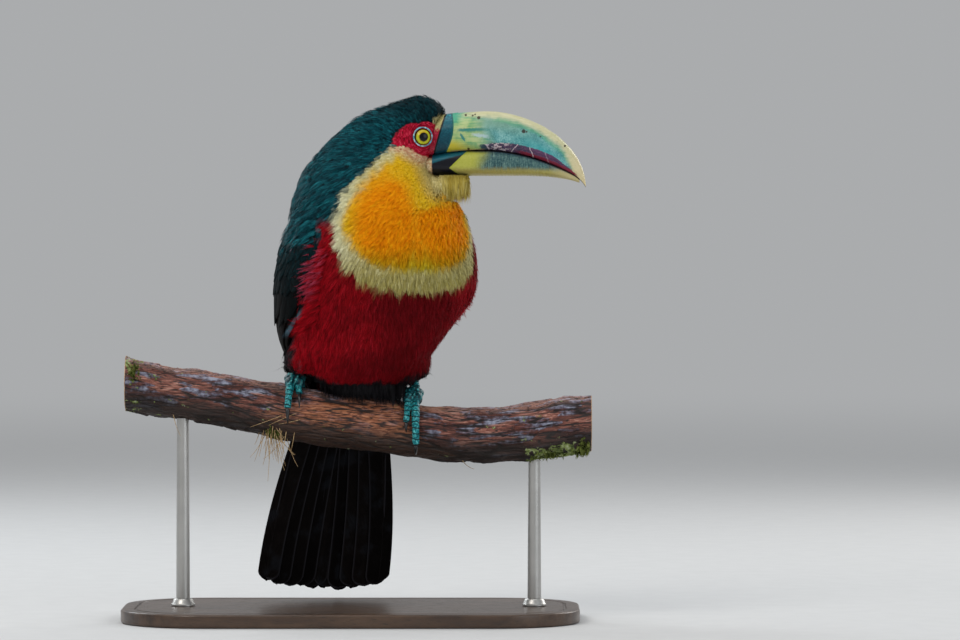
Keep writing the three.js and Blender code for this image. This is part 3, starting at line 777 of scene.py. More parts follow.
# %% Claws
paint = Paint("dark_claw_horn", Coat_Weight=0.3, Coat_Roughness=0.2)
streaks = paint.noise(1, paint.stretched(0.5, 2.5, 2.5), 4)
horn = paint.ramp(streaks, [
    (0.35, (0.004, 0.005, 0.006)), (0.55, (0.01, 0.011, 0.013)), (0.75, (0.03, 0.032, 0.032)),
])
CLAW = paint.finish(horn, 0.3 + streaks * 0.2, streaks, 0.08)
for node in sorted(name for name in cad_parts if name.startswith("claw_")):
    piece = merged_copy(node + "_horn", node)
    apply(piece, "SUBSURF", levels=2, render_levels=2)
    keep(piece, CLAW, "claw", node)


# %% [markdown]
# ## The bill
#
# The bill is a light horn box with a sharp cutting edge. Both halves are a grid wrapped round a formula:
# the ridge line and the mouth line give the height of each section, and a taper gives its width.
# The formula also tells each corner how far it lies from the ridge and from the mouth, in millimetres.
# Those distances are stored, because the pale ridge stripe and the plum edge follow them, not the frame.
# Chips and steps of the cutting edge are pressed into the shape, then painted at the same places.

# %% Bill shape
BILL = {
    "root": 52.5, "lean": 0.28, "tip": 155.8, "flat_top": 337.6, "bend": 85, "hook_z": 287,
    "mouth_z": 311.7, "mouth_x": 88, "chin_z": 295.2, "lower_tip": 151.5, "half": 13.2, "lower_half": 11.8,
}
GAP = 0.35


def ridge_z(x):
    drop = BILL["flat_top"] - BILL["hook_z"]
    reach = BILL["tip"] - BILL["bend"]
    curve = np.sqrt(np.clip(1 - ((x - BILL["bend"]) / reach) ** 2, 0, 1))
    rise = BILL["flat_top"] - 0.0024 * (BILL["bend"] - x) ** 2
    return np.where(x < BILL["bend"], rise, BILL["hook_z"] + drop * curve)


def mouth_z(x):
    bow = np.where(x < BILL["mouth_x"], 0.0031, 0.0045)
    return BILL["mouth_z"] - bow * (x - BILL["mouth_x"]) ** 2 - 0.06 * np.maximum(0, x - 148) ** 2


def keel_z(x):
    return BILL["chin_z"] - 4.6 * (np.maximum(0, x - 110) / 42) ** 3


def half_width(x, tip, half):
    run = (x - BILL["root"]) / (tip - BILL["root"])
    return half * np.maximum(0.05, 1 - np.clip(run, 0, 1) ** 2.6) ** 0.6


def rounded(value, power):
    return np.sign(value) * np.abs(value) ** (2 / power)


def lean(z, part):
    """The root of the bill leans with the forehead; the lean fades along the bill."""
    return BILL["lean"] * (z - BILL["mouth_z"]) * (1 - part) ** 3


EDGE_STEPS = (92, 98.5, 106.2, 113.5, 121.8, 130, 138.5)  # where the cutting edge has a step


def wrapped_grid(name, along, around):
    """A flat grid with its places from 0 to 1, ready to be wrapped. Its v runs round, with a seam."""
    bpy.ops.mesh.primitive_grid_add(x_subdivisions=along, y_subdivisions=around, size=1)
    piece = bpy.context.object
    piece.name = name
    flat = numbers(piece.data.vertices, "co", 3) + 0.5
    return piece, flat[:, 0], flat[:, 1]


def sewn(piece):
    """Merges the seam of a wrapped grid, closes its ends and turns its faces outwards."""
    in_edit_mode(piece, lambda: bpy.ops.mesh.remove_doubles(threshold=0.00001),
                 lambda: bpy.ops.mesh.fill_holes(sides=0),
                 lambda: bpy.ops.mesh.select_all(action="SELECT"),
                 lambda: bpy.ops.mesh.normals_make_consistent(inside=False))
    return piece


def half_bill(name, upper):
    piece, part, around = wrapped_grid(name, 260, 120)
    tip = BILL["tip"] - 0.1 if upper else BILL["lower_tip"]
    x = mix(BILL["root"], tip, np.sin(part * np.pi / 2) ** (1.15 if upper else 1.1))
    turn = around * 2 * np.pi
    rise = np.cos(turn)
    if upper:
        low = mouth_z(x) + GAP / 2
        high = np.maximum(ridge_z(x), low + 0.9)
        side = rounded(np.sin(turn), np.where(rise > 0, 2.1, 3.4)) * half_width(x, tip, BILL["half"])
        level = np.where(rise > 0, np.abs(rise) ** 1.05, -np.abs(rise) ** 0.45)
    else:
        high = mouth_z(x) - GAP / 2
        low = np.minimum(keel_z(x), high - 0.8)
        side = rounded(np.sin(turn), np.where(rise > 0, 3.4, 2.1)) * half_width(x, tip, BILL["lower_half"])
        level = np.where(rise > 0, np.abs(rise) ** 0.45, -np.abs(rise) ** 0.9)
        # a ridge inside closes the view through the mouth
        high = high + np.where(rise > 0, 0.7 * smooth(np.abs(side), 8.5, 6.5), 0)
    z = (low + high) / 2 + level * (high - low) / 2
    flat = np.stack([x, side, z], -1)
    bent = np.sqrt(np.clip(1 - ((x - BILL["bend"]) / 76) ** 2, 0.1, 1))
    from_ridge = (high - z) * np.where(x > BILL["bend"], bent, 1)
    from_mouth = (z - low) if upper else (mouth_z(x) - z)
    press = 0.1 * waves(flat / (6, 1, 1), 7, 41) + 0.05 * waves(flat / (3, 1, 1), 3, 42)
    if upper:
        band = smooth(x, 88, 92) * smooth(mix(5.6, 3, (x - 88) / 62) - from_mouth, -0.25, 0.25)
        saw = np.zeros_like(x)
        for start, end in zip(EDGE_STEPS, EDGE_STEPS[1:] + (147,)):
            inside = (x >= start) & (x < end)
            saw[inside] = ((x - start) / (end - start))[inside]
        press = press - band * (0.3 + 0.35 * saw) + 0.25 * smooth(from_ridge, 4.5, 0.5) * smooth(x, 76, 90)
        chips = smooth(waves(flat / (1.6, 1, 1), 4.2, 43), 0.25, 0.45)
        press -= 0.45 * band * chips * smooth(x, 90, 93) * smooth(106 - x, 0, 3)
        press += 0.35 * smooth(68.2 - 0.018 * (z - 327.5) ** 2 - x, -0.5, 0.5)
    else:
        ribbed = smooth(x, 84, 96) * smooth(140 - x, 0, 10) * smooth(from_mouth, 1, 3)
        press += 0.1 * np.sin(x * 3.1) * ribbed
    rim = smooth(part, 0, 0.01) * smooth(1 - part, 0, 0.02)
    outward_way = np.stack([0 * x, np.sin(turn), rise * smooth(from_mouth, 0.2, 1.6)], -1)
    flat = flat + outward_way * (press * rim)[:, None]
    flat[:, 0] += lean(z, part)
    put(piece, on_head(flat[:, 0], flat[:, 1], flat[:, 2]).T)
    store(piece, "horn", np.stack([flat[:, 0] / 200, from_ridge / 50, from_mouth / 50, 0 * x], -1))
    return sewn(piece)


# %% Horn colours
def horn_paint(name):
    paint = Paint(name, Coat_Weight=0.12, Coat_Roughness=0.26, Specular_IOR_Level=0.18)
    run, ridge, mouth = paint.split(paint.attribute("horn"))
    cloud = paint.noise(0.14, detail=5, roughness=0.6)
    fine = paint.noise(0.9, detail=4, roughness=0.6)
    return paint, run * 200, ridge * 50, mouth * 50, cloud, fine


paint, run, ridge, mouth, cloud, fine = horn_paint("upper_horn")
fibre = paint.noise(1, paint.stretched(14, 1.2, 1.2), 4)
speckle = paint.noise(2.6, detail=3)
wander = (cloud - 0.5) * 8
green_zone = paint.ramp(cloud * 0.55 + fibre * 0.45, [
    (0.38, (0.09, 0.3, 0.17)), (0.47, (0.26, 0.44, 0.18)), (0.58, (0.46, 0.55, 0.25)),
])
yellow = (run + (paint.z - 314) * 1.1 + wander).step(86, 70)
emerald = (run - (paint.z - 333) * 0.9 + wander * 0.6).step(80, 69) * paint.z.step(326, 333)
aqua = (run + wander).step(104, 132) * ridge.step(7, 14)
grey = ridge.step(15, 7) * (run + wander).step(132, 98)
sea = paint.ramp(cloud * 0.5 + speckle * 0.5, [
    (0.38, (0.03, 0.15, 0.18)), (0.47, (0.085, 0.29, 0.3)), (0.55, (0.16, 0.42, 0.41)),
    (0.64, (0.36, 0.6, 0.58)),
])
sea = paint.coats(sea, (aqua * 0.7, (0.035, 0.37, 0.4)), (grey * 0.65, (0.2, 0.33, 0.22)))
streak = (paint.z - 325.4 - (run - 80) * 0.02 + (fine - 0.5) * 2.4).size().step(1.5, 0.5)
glint = (paint.z - 321.6 + (run - 87) * 0.14 + (fine - 0.5) * 3.4).size().step(1.5, 0.4)
oval = ((run - 75.3 + (paint.z - 320.5) * 0.55) ** 2 * 1.3 + ((paint.z - 320.5) * 0.42) ** 2) ** 0.5
stripe_depth = (run - 84) * 0.012 + 3.4 + (cloud - 0.5) * 5 + (fibre - 0.5) * 2.4
stripe = ((stripe_depth - ridge) + (run - 140).most(0) * 0.3).step(-2.4, 2)
edge_glow = (stripe_depth - ridge + 1.4).size().step(2.4, 0.2) * run.step(92, 100)
cream = paint.blend(fibre, (0.44, 0.42, 0.18), (0.72, 0.68, 0.46))
horn = paint.coats(
    green_zone,
    (yellow * paint.z.step(322, 315), (0.5, 0.44, 0.035)),
    (emerald * 0.9, (0.012, 0.34, 0.22)),
    ((run + wander * 1.6 - ridge * 0.45).step(74, 91), sea),
    (streak * run.step(70.5, 74) * run.step(97, 84) * 0.8, (0.014, 0.2, 0.2)),
    (glint * run.step(80, 84) * run.step(95, 89) * 0.8, (0.46, 0.6, 0.66)),
    ((oval + (fine - 0.5) * 0.5).step(1.4, 0.8) * 0.85, (0.012, 0.19, 0.2)),
    (edge_glow * 0.5, (0.1, 0.38, 0.17)),
    (stripe * (run + wander).step(70, 84) * 0.95, cream),
    ((run + (cloud - 0.5) * 6).step(142, 152), (0.66, 0.57, 0.33)),
)

band_height = 3.9 + run.step(86, 112) * 2.5 - run.step(132, 151) * 4.8 + (fine - 0.5) * 1.8
band = (band_height - mouth).step(-0.25, 0.3) * (run + (fine - 0.5) * 5).step(85.5, 88)
band = band * run.step(151.5, 148)
plum = paint.ramp(fine * 0.6 + speckle * 0.4, [
    (0.36, (0.014, 0.014, 0.04)), (0.48, (0.05, 0.034, 0.08)), (0.58, (0.13, 0.045, 0.11)),
    (0.7, (0.3, 0.16, 0.26)),
])
line = (2.3 - mouth + (fine - 0.5) * 1.8).step(-0.3, 0.3) * run.step(108, 116)
slate = paint.coats(
    plum,
    ((run + wander * 0.4).step(96, 88), (0.018, 0.045, 0.085)),
    (run.step(112, 126) * 0.35, (0.17, 0.03, 0.12)),
    (line * 0.85, (0.24, 0.003, 0.02)),
)
flakes = paint.noise(1, paint.stretched(3.2, 3.2, 1.5), 4, 0.6)
worn = flakes.step(0.5, 0.56) * run.step(89.5, 92) * run.step(109, 103)
worn = worn * (band_height + 0.4 - mouth).step(-0.3, 0.4)
bruise = paint.blend(speckle.step(0.42, 0.56), (0.44, 0.5, 0.6), (0.72, 0.52, 0.5))
horn = paint.coats(horn, (band * 0.96, slate), (worn * 0.9, bruise))
LIPS = ((91.3, 0.5, 0.7), (108.6, -0.7, 0.8), (120.8, 0.35, 0.95), (131, 0.5, 0.3))  # start, slant, strength
for start, slant, strong in LIPS:
    lip = run - start + (mouth - 2.5) * slant + (cloud - 0.5) * 5 + (fine - 0.5) * 2.2
    horn = paint.blend(lip.size().step(0.55, 0.15) * band * strong, horn, (0.66, 0.56, 0.6))
hot = (mouth - 0.6).step(0.9, 0.2) * run.step(66, 69) * run.step(91, 87)

PITS = [  # along the bill, height, radius
    (77, 335.2, 0.75), (81.6, 334.9, 0.6), (83.2, 335.6, 0.5), (85.7, 333.4, 1.05), (115.4, 324.4, 1.25),
    (117.3, 324.1, 0.6), (126.3, 321, 0.45), (142.2, 314.9, 0.7), (79, 312.9, 0.8),
]
dark = 0
for along, up, radius in PITS:
    away = ((run - along) ** 2 + (paint.z - up) ** 2) ** 0.5 + (speckle - 0.5)
    dark = away.step(radius * 1.25, radius * 0.75).most(dark)
horn = paint.coats(
    horn,
    (hot * 0.6, (0.58, 0.4, 0.22)),
    # painted shade: a near-black line along the mouth, in the gap between the two halves
    (mouth.step(0.75, 0.3) * 0.9, (0.02, 0.008, 0.014)),
    (dark * 0.9, (0.035, 0.012, 0.008)),
)

root_edge = 69.3 - ((paint.z - 327.5) ** 2) * 0.018
root_band = (root_edge - run).step(-0.25, 0.25)
petrol = paint.ramp(fine * 0.5 + (paint.z - 300) * 0.0135, [
    (0.42, (0.003, 0.03, 0.05)), (0.56, (0.005, 0.06, 0.09)), (0.7, (0.007, 0.115, 0.155)),
    (0.8, (0.025, 0.3, 0.36)),
])
petrol = paint.blend(speckle.step(0.56, 0.68) * 0.5, petrol, (0.03, 0.2, 0.25))
rim = (root_edge - run - 0.35).size().step(0.75, 0.25)
lap = run - 58.2 - (paint.z - 316) * 0.28 + (fine - 0.5) * 0.8
lapping_skin = paint.ramp(speckle, [
    (0.36, (0.1, 0.0003, 0.006)), (0.47, (0.28, 0.0008, 0.016)), (0.56, (0.4, 0.003, 0.03)),
    (0.68, (0.66, 0.1, 0.15)),
])
lore = paint.blend(speckle.step(0.4, 0.5), (0.06, 0.05, 0.02), (0.5, 0.44, 0.18))
lapping_skin = paint.blend((paint.z + (fine - 0.5) * 8).step(324.6, 327), lapping_skin, lore)
horn = paint.coats(
    horn,
    (root_band, petrol),
    (rim * 0.85, (0.008, 0.1, 0.09)),
    (lap.step(0.9, 0.3), (0.002, 0.006, 0.008)),
    (lap.step(-0.3, -0.8), lapping_skin),
)
gloss = 0.2 + speckle * 0.14 + band * 0.16 + dark * 0.4
relief = fibre * 0.5 + speckle * 0.25 + fine * 0.3 - dark * 2
upper_horn = paint.finish(horn, gloss, relief, 0.11)
keep(half_bill("bill_upper_horn", True), upper_horn, "bill_horn", "bill_upper")

paint, run, ridge, mouth, cloud, fine = horn_paint("lower_horn")
striae = paint.noise(1, paint.stretched(0.55, 9, 9), 3)
wander = (cloud - 0.5) * 7
lift = paint.z - 295.2
yellow = paint.blend(fine, (0.34, 0.36, 0.035), (0.52, 0.52, 0.12))
blue = paint.ramp(striae * 0.6 + fine * 0.4, [
    (0.36, (0.012, 0.042, 0.055)), (0.46, (0.036, 0.095, 0.105)), (0.56, (0.09, 0.18, 0.17)),
    (0.7, (0.24, 0.36, 0.29)),
])
olive = paint.blend(fine, (0.27, 0.23, 0.045), (0.46, 0.41, 0.13))
below = lift + (run - 110).most(0) ** 2 * 0.0017
blue_edge = (mouth + (fine - 0.5)).step(1.6, 0.4) * run.step(80, 84) * run.step(150, 130)
lobe_upper = run - 66.3 - (paint.z - 300.4).most(0) * 1.04
lobe_lower = run - 66.3 - (300.4 - paint.z).most(0) * 1.43
lobe = lobe_upper.least(lobe_lower) + (fine - 0.5) * 0.9
ink = paint.blend(fine, (0.002, 0.0025, 0.005), (0.01, 0.011, 0.018))
teal_strip = paint.blend(fine, (0.003, 0.05, 0.08), (0.018, 0.17, 0.22))
strip = (mouth - 5.2 + (run - 56) * 0.17 + (fine - 0.5) * 1.2).step(0.7, -0.7)
root_line = run - 54.9 + (fine - 0.5) * 1.6
rosy_root = (paint.z + (fine - 0.5) * 6).step(303, 308)
horn = paint.coats(
    yellow,
    ((run + wander - lift * 0.5).step(76, 89), blue),
    ((below + (striae - 0.5) * 3).step(6.6, 2.6), olive),
    ((run + (cloud - 0.5) * 8).step(130, 146) * 0.85, (0.5, 0.43, 0.22)),
    (blue_edge * 0.7, (0.02, 0.04, 0.07)),
    # painted shade: a near-black line along the mouth, in the gap between the two halves
    (mouth.step(0.6, 0.25) * 0.9, (0.012, 0.008, 0.012)),
    (lobe.step(2.6, 0.2) * 0.5, (0.3, 0.38, 0.012)),
    (lobe.step(0.25, -0.25), paint.blend(strip, ink, teal_strip)),
    (root_line.step(0.4, -0.4), paint.blend(rosy_root, (0.66, 0.4, 0.22), (0.2, 0.003, 0.014))),
)
lower_horn = paint.finish(horn, 0.24 + fine * 0.14, striae * 0.6 + fine * 0.3, 0.14)
keep(half_bill("bill_lower_horn", False), lower_horn, "bill_horn", "bill_lower")


# %% [markdown]
# ## Where the colours of the plumage lie
#
# A toucan's colours belong to its feathers, and each feather carries the colour of the place where it grows.
# So the markings are one function of place, used for the skin and again for every root of a feather.
# It gives soft masks, from 0 to 1: the bib with its warm middle and pale rim, the red of breast and rump,
# the black of vent and thighs, and the bare skin round the eye. The rest is the blue-black of cap and mantle,
# which the paint gives a painted teal sheen.

# %% Markings
def eye_frame(side):
    """The middle of the lids on one side, and the ways outwards, forwards and up there."""
    lid = on_head(EYE["x"], side * EYE["side"], EYE["z"])
    out = unit(on_head(EYE["x"] + 3.2, side * 10, EYE["z"] + 0.6) - on_head(EYE["x"], 0, EYE["z"]))
    ahead = on_head(1, 0, 0) - on_head(0, 0, 0)
    ahead = unit(ahead - out * ahead.dot(out))
    up = np.cross(out, ahead)
    return lid, out, ahead, up if up[2] > 0 else -up


BARE_SKIN = {  # round the eye: angle from forwards, in degrees, and reach of the bare skin
    -165.5: 20.8, -143: 11.9, -120.5: 11, -80: 13.1, -71: 17.7, -58: 24, -16: 22, 15: 16, 27: 12,
    56: 10.8, 106: 8.9, 149: 13.3, 175: 17.3,
}
BIB = {"x": 38.3, "z": 260, "half_wide": 48.3, "half_high": 41.5, "heading": math.radians(-59)}


def bare_reach(angle):
    known = sorted(BARE_SKIN)
    return np.interp(angle, known, [BARE_SKIN[a] for a in known], period=360)


def round_eye(points):
    """Distance from the nearer eye and the angle round it, as seen from the side of the head."""
    forward, side = head_place(points)
    ahead = forward - EYE["x"]
    up = points[:, 2] - EYE["z"]
    return np.hypot(ahead, up), np.degrees(np.arctan2(up, ahead)), side


def as_seen(points):
    """The x that a place shows from the right: the bib's left side is the mirror image of its right side.

    Places behind the middle of the body get an x far outside the bib.
    """
    z = points[:, 2]
    heading = mix(BIB["heading"], HEAD_HEADING, smooth(z, 262, 306))
    ahead = np.stack([np.cos(heading), np.sin(heading)], -1)
    across = np.stack([-np.sin(heading), np.cos(heading)], -1)
    offset = points[:, :2] - body_axis(z)
    beside, behind = (offset * across).sum(1), -(offset * ahead).sum(1)
    return points[:, 0] - 2 * np.maximum(beside, 0) * across[:, 0] - 2.5 * np.maximum(behind, 0)


def markings(points):
    """Masks for each place: bib, warm, pale, red, black, bare skin, lores and salmon."""
    x, y, z = points.T
    forward, side = head_place(points)
    ragged = 1.6 * waves(points, 9, 51) + 0.9 * waves(points, 3.5, 52)
    seen = as_seen(points)
    power = mix(2, 2.35, smooth(BIB["z"] - z, 0, 20))
    across, upright = np.abs(seen - BIB["x"]) / BIB["half_wide"], np.abs(z - BIB["z"]) / BIB["half_high"]
    out = (across**power + upright**power) ** (1 / power)
    inner = (1 - out) * 48
    cheek_top = np.minimum(289 + 0.91 * (seen + 0.4), 319 + np.maximum(0, forward - 55) * 0.95)
    cheek = smooth((cheek_top - z) * 0.74 + ragged * 0.6, -1, 1) * smooth(z, 280, 292)
    bib = np.maximum(smooth(inner + ragged, -1.2, 1.2), cheek)
    left_lobe = np.hypot((seen - 25) / 24, (z - 264) / 33)
    right_lobe = np.hypot((seen - 61) / 26, (z - 255) / 26)
    valley = np.exp(-(((seen - 46) / 8) ** 2)) * smooth(z, 258, 276)
    warm = smooth(np.minimum(left_lobe, right_lobe) + 0.06 * waves(points, 14, 53) + 0.22 * valley, 1.25, 0.6)
    under_chin = smooth(x, 38, 50) * smooth(z, 269, 281) * smooth(x - (281 - z) * 0.9, 76, 66)
    warm = warm * (1 - 0.9 * under_chin)
    rim = mix(6.2, 16.5, smooth(BIB["z"] - z, -4, 34))
    rim = rim + 1.2 * waves(points, 7, 54)
    from_edge = np.where(z > 286, np.maximum(inner, (cheek_top - z) * 0.74), inner)
    chin = smooth(forward + (z - 290) * 0.4, 44, 58) * smooth(z, 274, 284)
    pale = np.clip(np.maximum(smooth(from_edge, rim + 3.5, rim - 4), chin * 0.8), 0, 1)
    heading = np.degrees(np.arctan2(y + 22, x - 19)) - math.degrees(BODY_HEADING)
    heading = (heading + 180) % 360 - 180
    shoulder = np.where(heading > 0, 18, 0)
    flank = 84 + shoulder + 32 * smooth(z, 214, 178) - (26 - shoulder) * smooth(z, 238, 255)
    breast = smooth(flank - np.abs(heading) + ragged * 2.2, -3, 3) * smooth(z, 267, 261)
    rump = smooth(y, 14, 24) * smooth(z + ragged * 2, 206, 196)
    red = np.maximum(breast, rump)
    hem = 156.5 + 8 * np.clip((x - 4) / 38, -1.2, 1.2) ** 2
    vent = smooth(hem - z + ragged * 0.8, -1.5, 1.5) * smooth(y, 22, 12)
    vent = np.maximum(vent, smooth(z + ragged, 218, 204) * (1 - red))
    reach, angle, _ = round_eye(points)
    bare = smooth(bare_reach(angle) - reach + 0.5 * waves(points, 2.5, 55), -0.7, 0.7)
    bare = bare * smooth(np.abs(side), 6, 9)
    lores = smooth(forward - 55.6 - (z - 329) * 0.8, -0.5, 0.5) * smooth(z, 323.5, 325.5)
    lores = lores * smooth(np.abs(side), 4, 7) * (1 - smooth(forward, 63.5, 65)) * smooth(z, 338, 336.5)
    below = smooth(reach - bare_reach(angle), 11, 0.5) * smooth(np.sin(np.radians(angle)), 0.15, -0.35)
    salmon = below * bib * smooth(z, 296, 303)
    pale = np.maximum(pale, below * smooth(z, 290, 300))
    return np.clip(np.stack([bib, warm, pale, red, vent, bare, lores, salmon], -1), 0, 1)


print("markings: bib, warm, pale, red, black, bare skin, lores, salmon")


# %% [markdown]
# ## One skin
#
# Under the feathers the bird is one surface, so trunk, neck, head, thighs and the roots of the wings are
# melted together in voxels, and the joints between the solids disappear.
# The solids follow the outside of the plumage, so the skin is then drawn inwards by the depth of the coat:
# hardly at all on the bare face, most on the breast. Round the eyes it is divided finer, and gets its
# opening, its lid and the fine rings of wrinkles that bare skin shows.

# %% Depth of the coat
def on_chin(points):
    """1 on the beard of feathers under the root of the bill, 0 elsewhere."""
    forward, _ = head_place(points)
    return smooth(forward, 58, 63) * smooth(points[:, 2], 276, 281) * smooth(points[:, 2], 299, 296)


def beard_depth(points):
    """The beard is deep below and thin where it meets the bill."""
    return 0.4 + 2.8 * smooth(points[:, 2], 294, 288)


def coat_depth(points):
    """How far the feather tips stand from the skin, in millimetres."""
    forward, _ = head_place(points)
    to_face = np.hypot(forward - 56, points[:, 2] - 316)
    deep = 1.5 + 2.3 * smooth(points[:, 2], 306, 258)
    deep = mix(0.75, deep, smooth(to_face, 16, 46))
    deep = deep - 0.7 * smooth(points[:, 2], 172, 156)
    return mix(deep, beard_depth(points), on_chin(points))


# %% Skin from the solids
FLESH = ("trunk", "neck", "head", "thigh_right", "thigh_left")
WINGS = ("wing_right", "wing_left")
SWELL = 0.55
VOXEL = 1.6
BARE_DEPTH = 0.15  # how far bare skin lies inside the solids
ARM_END = (0, 0, 0.172)  # the wings below this height have no flesh

skin = merged_copy("skin", *FLESH)
arms = merged_copy("arms", *WINGS)
with opened(arms) as shape:
    bmesh.ops.bisect_plane(shape, geom=whole(shape), plane_co=ARM_END, plane_no=(0, 0, -1), clear_outer=True)
    bmesh.ops.holes_fill(shape, edges=[edge for edge in shape.edges if edge.is_boundary])
eyeballs = merged_copy("sockets", "eye_right", "eye_left")
select_only(skin)
arms.select_set(True)
eyeballs.select_set(True)
bpy.ops.object.join()
remesh(skin, VOXEL, swell=SWELL, rounds=10)
points = places(skin)
bare = markings(points)[:, 5]
put(skin, points - outward(skin) * (SWELL + mix(coat_depth(points), BARE_DEPTH, bare))[:, None])
apply(skin, "SMOOTH", factor=0.5, iterations=3)
print("skin:", len(skin.data.polygons), "faces")

# %% Eyelids and wrinkles
def finer(piece, near):
    """Divides the faces whose middle is within `near` millimetres of an eye."""
    select_only(piece)
    middles = numbers(piece.data.polygons, "center", 3) / MM
    chosen = np.zeros(len(middles), bool)
    for side in (-1, 1):
        chosen |= np.linalg.norm(middles - eye_frame(side)[0], axis=1) < near
    bpy.ops.object.mode_set(mode="EDIT")
    bpy.ops.mesh.select_mode(type="FACE")
    bpy.ops.mesh.select_all(action="DESELECT")
    bpy.ops.object.mode_set(mode="OBJECT")
    piece.data.polygons.foreach_set("select", chosen)
    bpy.ops.object.mode_set(mode="EDIT")
    bpy.ops.mesh.subdivide(number_cuts=1, smoothness=0.6)
    bpy.ops.mesh.vertices_smooth(factor=0.5, repeat=4)
    bpy.ops.object.mode_set(mode="OBJECT")


LID = {"inner": 5.55, "top": 6.2, "half_wide": 0.72, "height": 0.75}
for reach in (24, 21, 10.5):
    finer(skin, reach)
points = places(skin)
normals = outward(skin)
bare = markings(points)[:, 5]
wrinkle = np.zeros(len(points))
for side in (-1, 1):
    lid, out, ahead, up = eye_frame(side)
    from_lid = points - lid
    level = from_lid @ out
    flat = from_lid - level[:, None] * out
    reach = np.linalg.norm(flat, axis=1)
    close = (reach < 26) & (np.abs(level) < 9)
    angle = np.arctan2(flat @ up, flat @ ahead)
    rings = np.stack([reach + 0.9 * waves(points, 5, 61), angle * reach / 2.2, 0 * reach], -1)
    folds = waves(rings, 0.95, 62, 9) * 0.55 + waves(points, 0.75, 63, 9) * 0.6
    fade = smooth(reach, 7, 8.2) * bare * close
    wrinkle += folds * fade
    points = points + normals * (0.16 * folds * fade)[:, None]
    dome = np.sqrt(np.clip(EYE["radius"] ** 2 - reach**2, 0, None)) - EYE["sunk"]
    under = dome - 0.45
    rise = LID["height"] * np.sqrt(np.clip(1 - ((reach - LID["top"]) / LID["half_wide"]) ** 2, 0, 1))
    edge = np.where(reach < LID["inner"], mix(under, -0.2, smooth(reach, 5, 5.5)), rise)
    blend = smooth(reach, 8.6, 6.9) * close
    points = points + out * ((edge - level) * blend)[:, None]
put(skin, points)
marks = markings(places(skin))
store(skin, "marks", marks[:, :4])
store(skin, "more", marks[:, 4:])
# on the skin the strand tone carries the wrinkles, so the paint lights their crests and darkens their folds
store(skin, "feather", np.stack([0.25 + 0 * bare, 0.5 + 0.45 * wrinkle, 0.5 + 0 * bare, 0 * bare], -1))
print("skin with lids:", len(skin.data.polygons), "faces")


# %% [markdown]
# ## The paint of skin and feathers
#
# Skin and feathers share one paint. It reads the masks, and for feathers also how far along the strand a
# place lies and how light that strand is. Roots are dark, because little light reaches them; tips are pale.
# The cap has the oily gloss of a toucan's crown, so its feathers are smoother than those of the breast; the teal
# of its streaks is a painted sheen on blue-black.

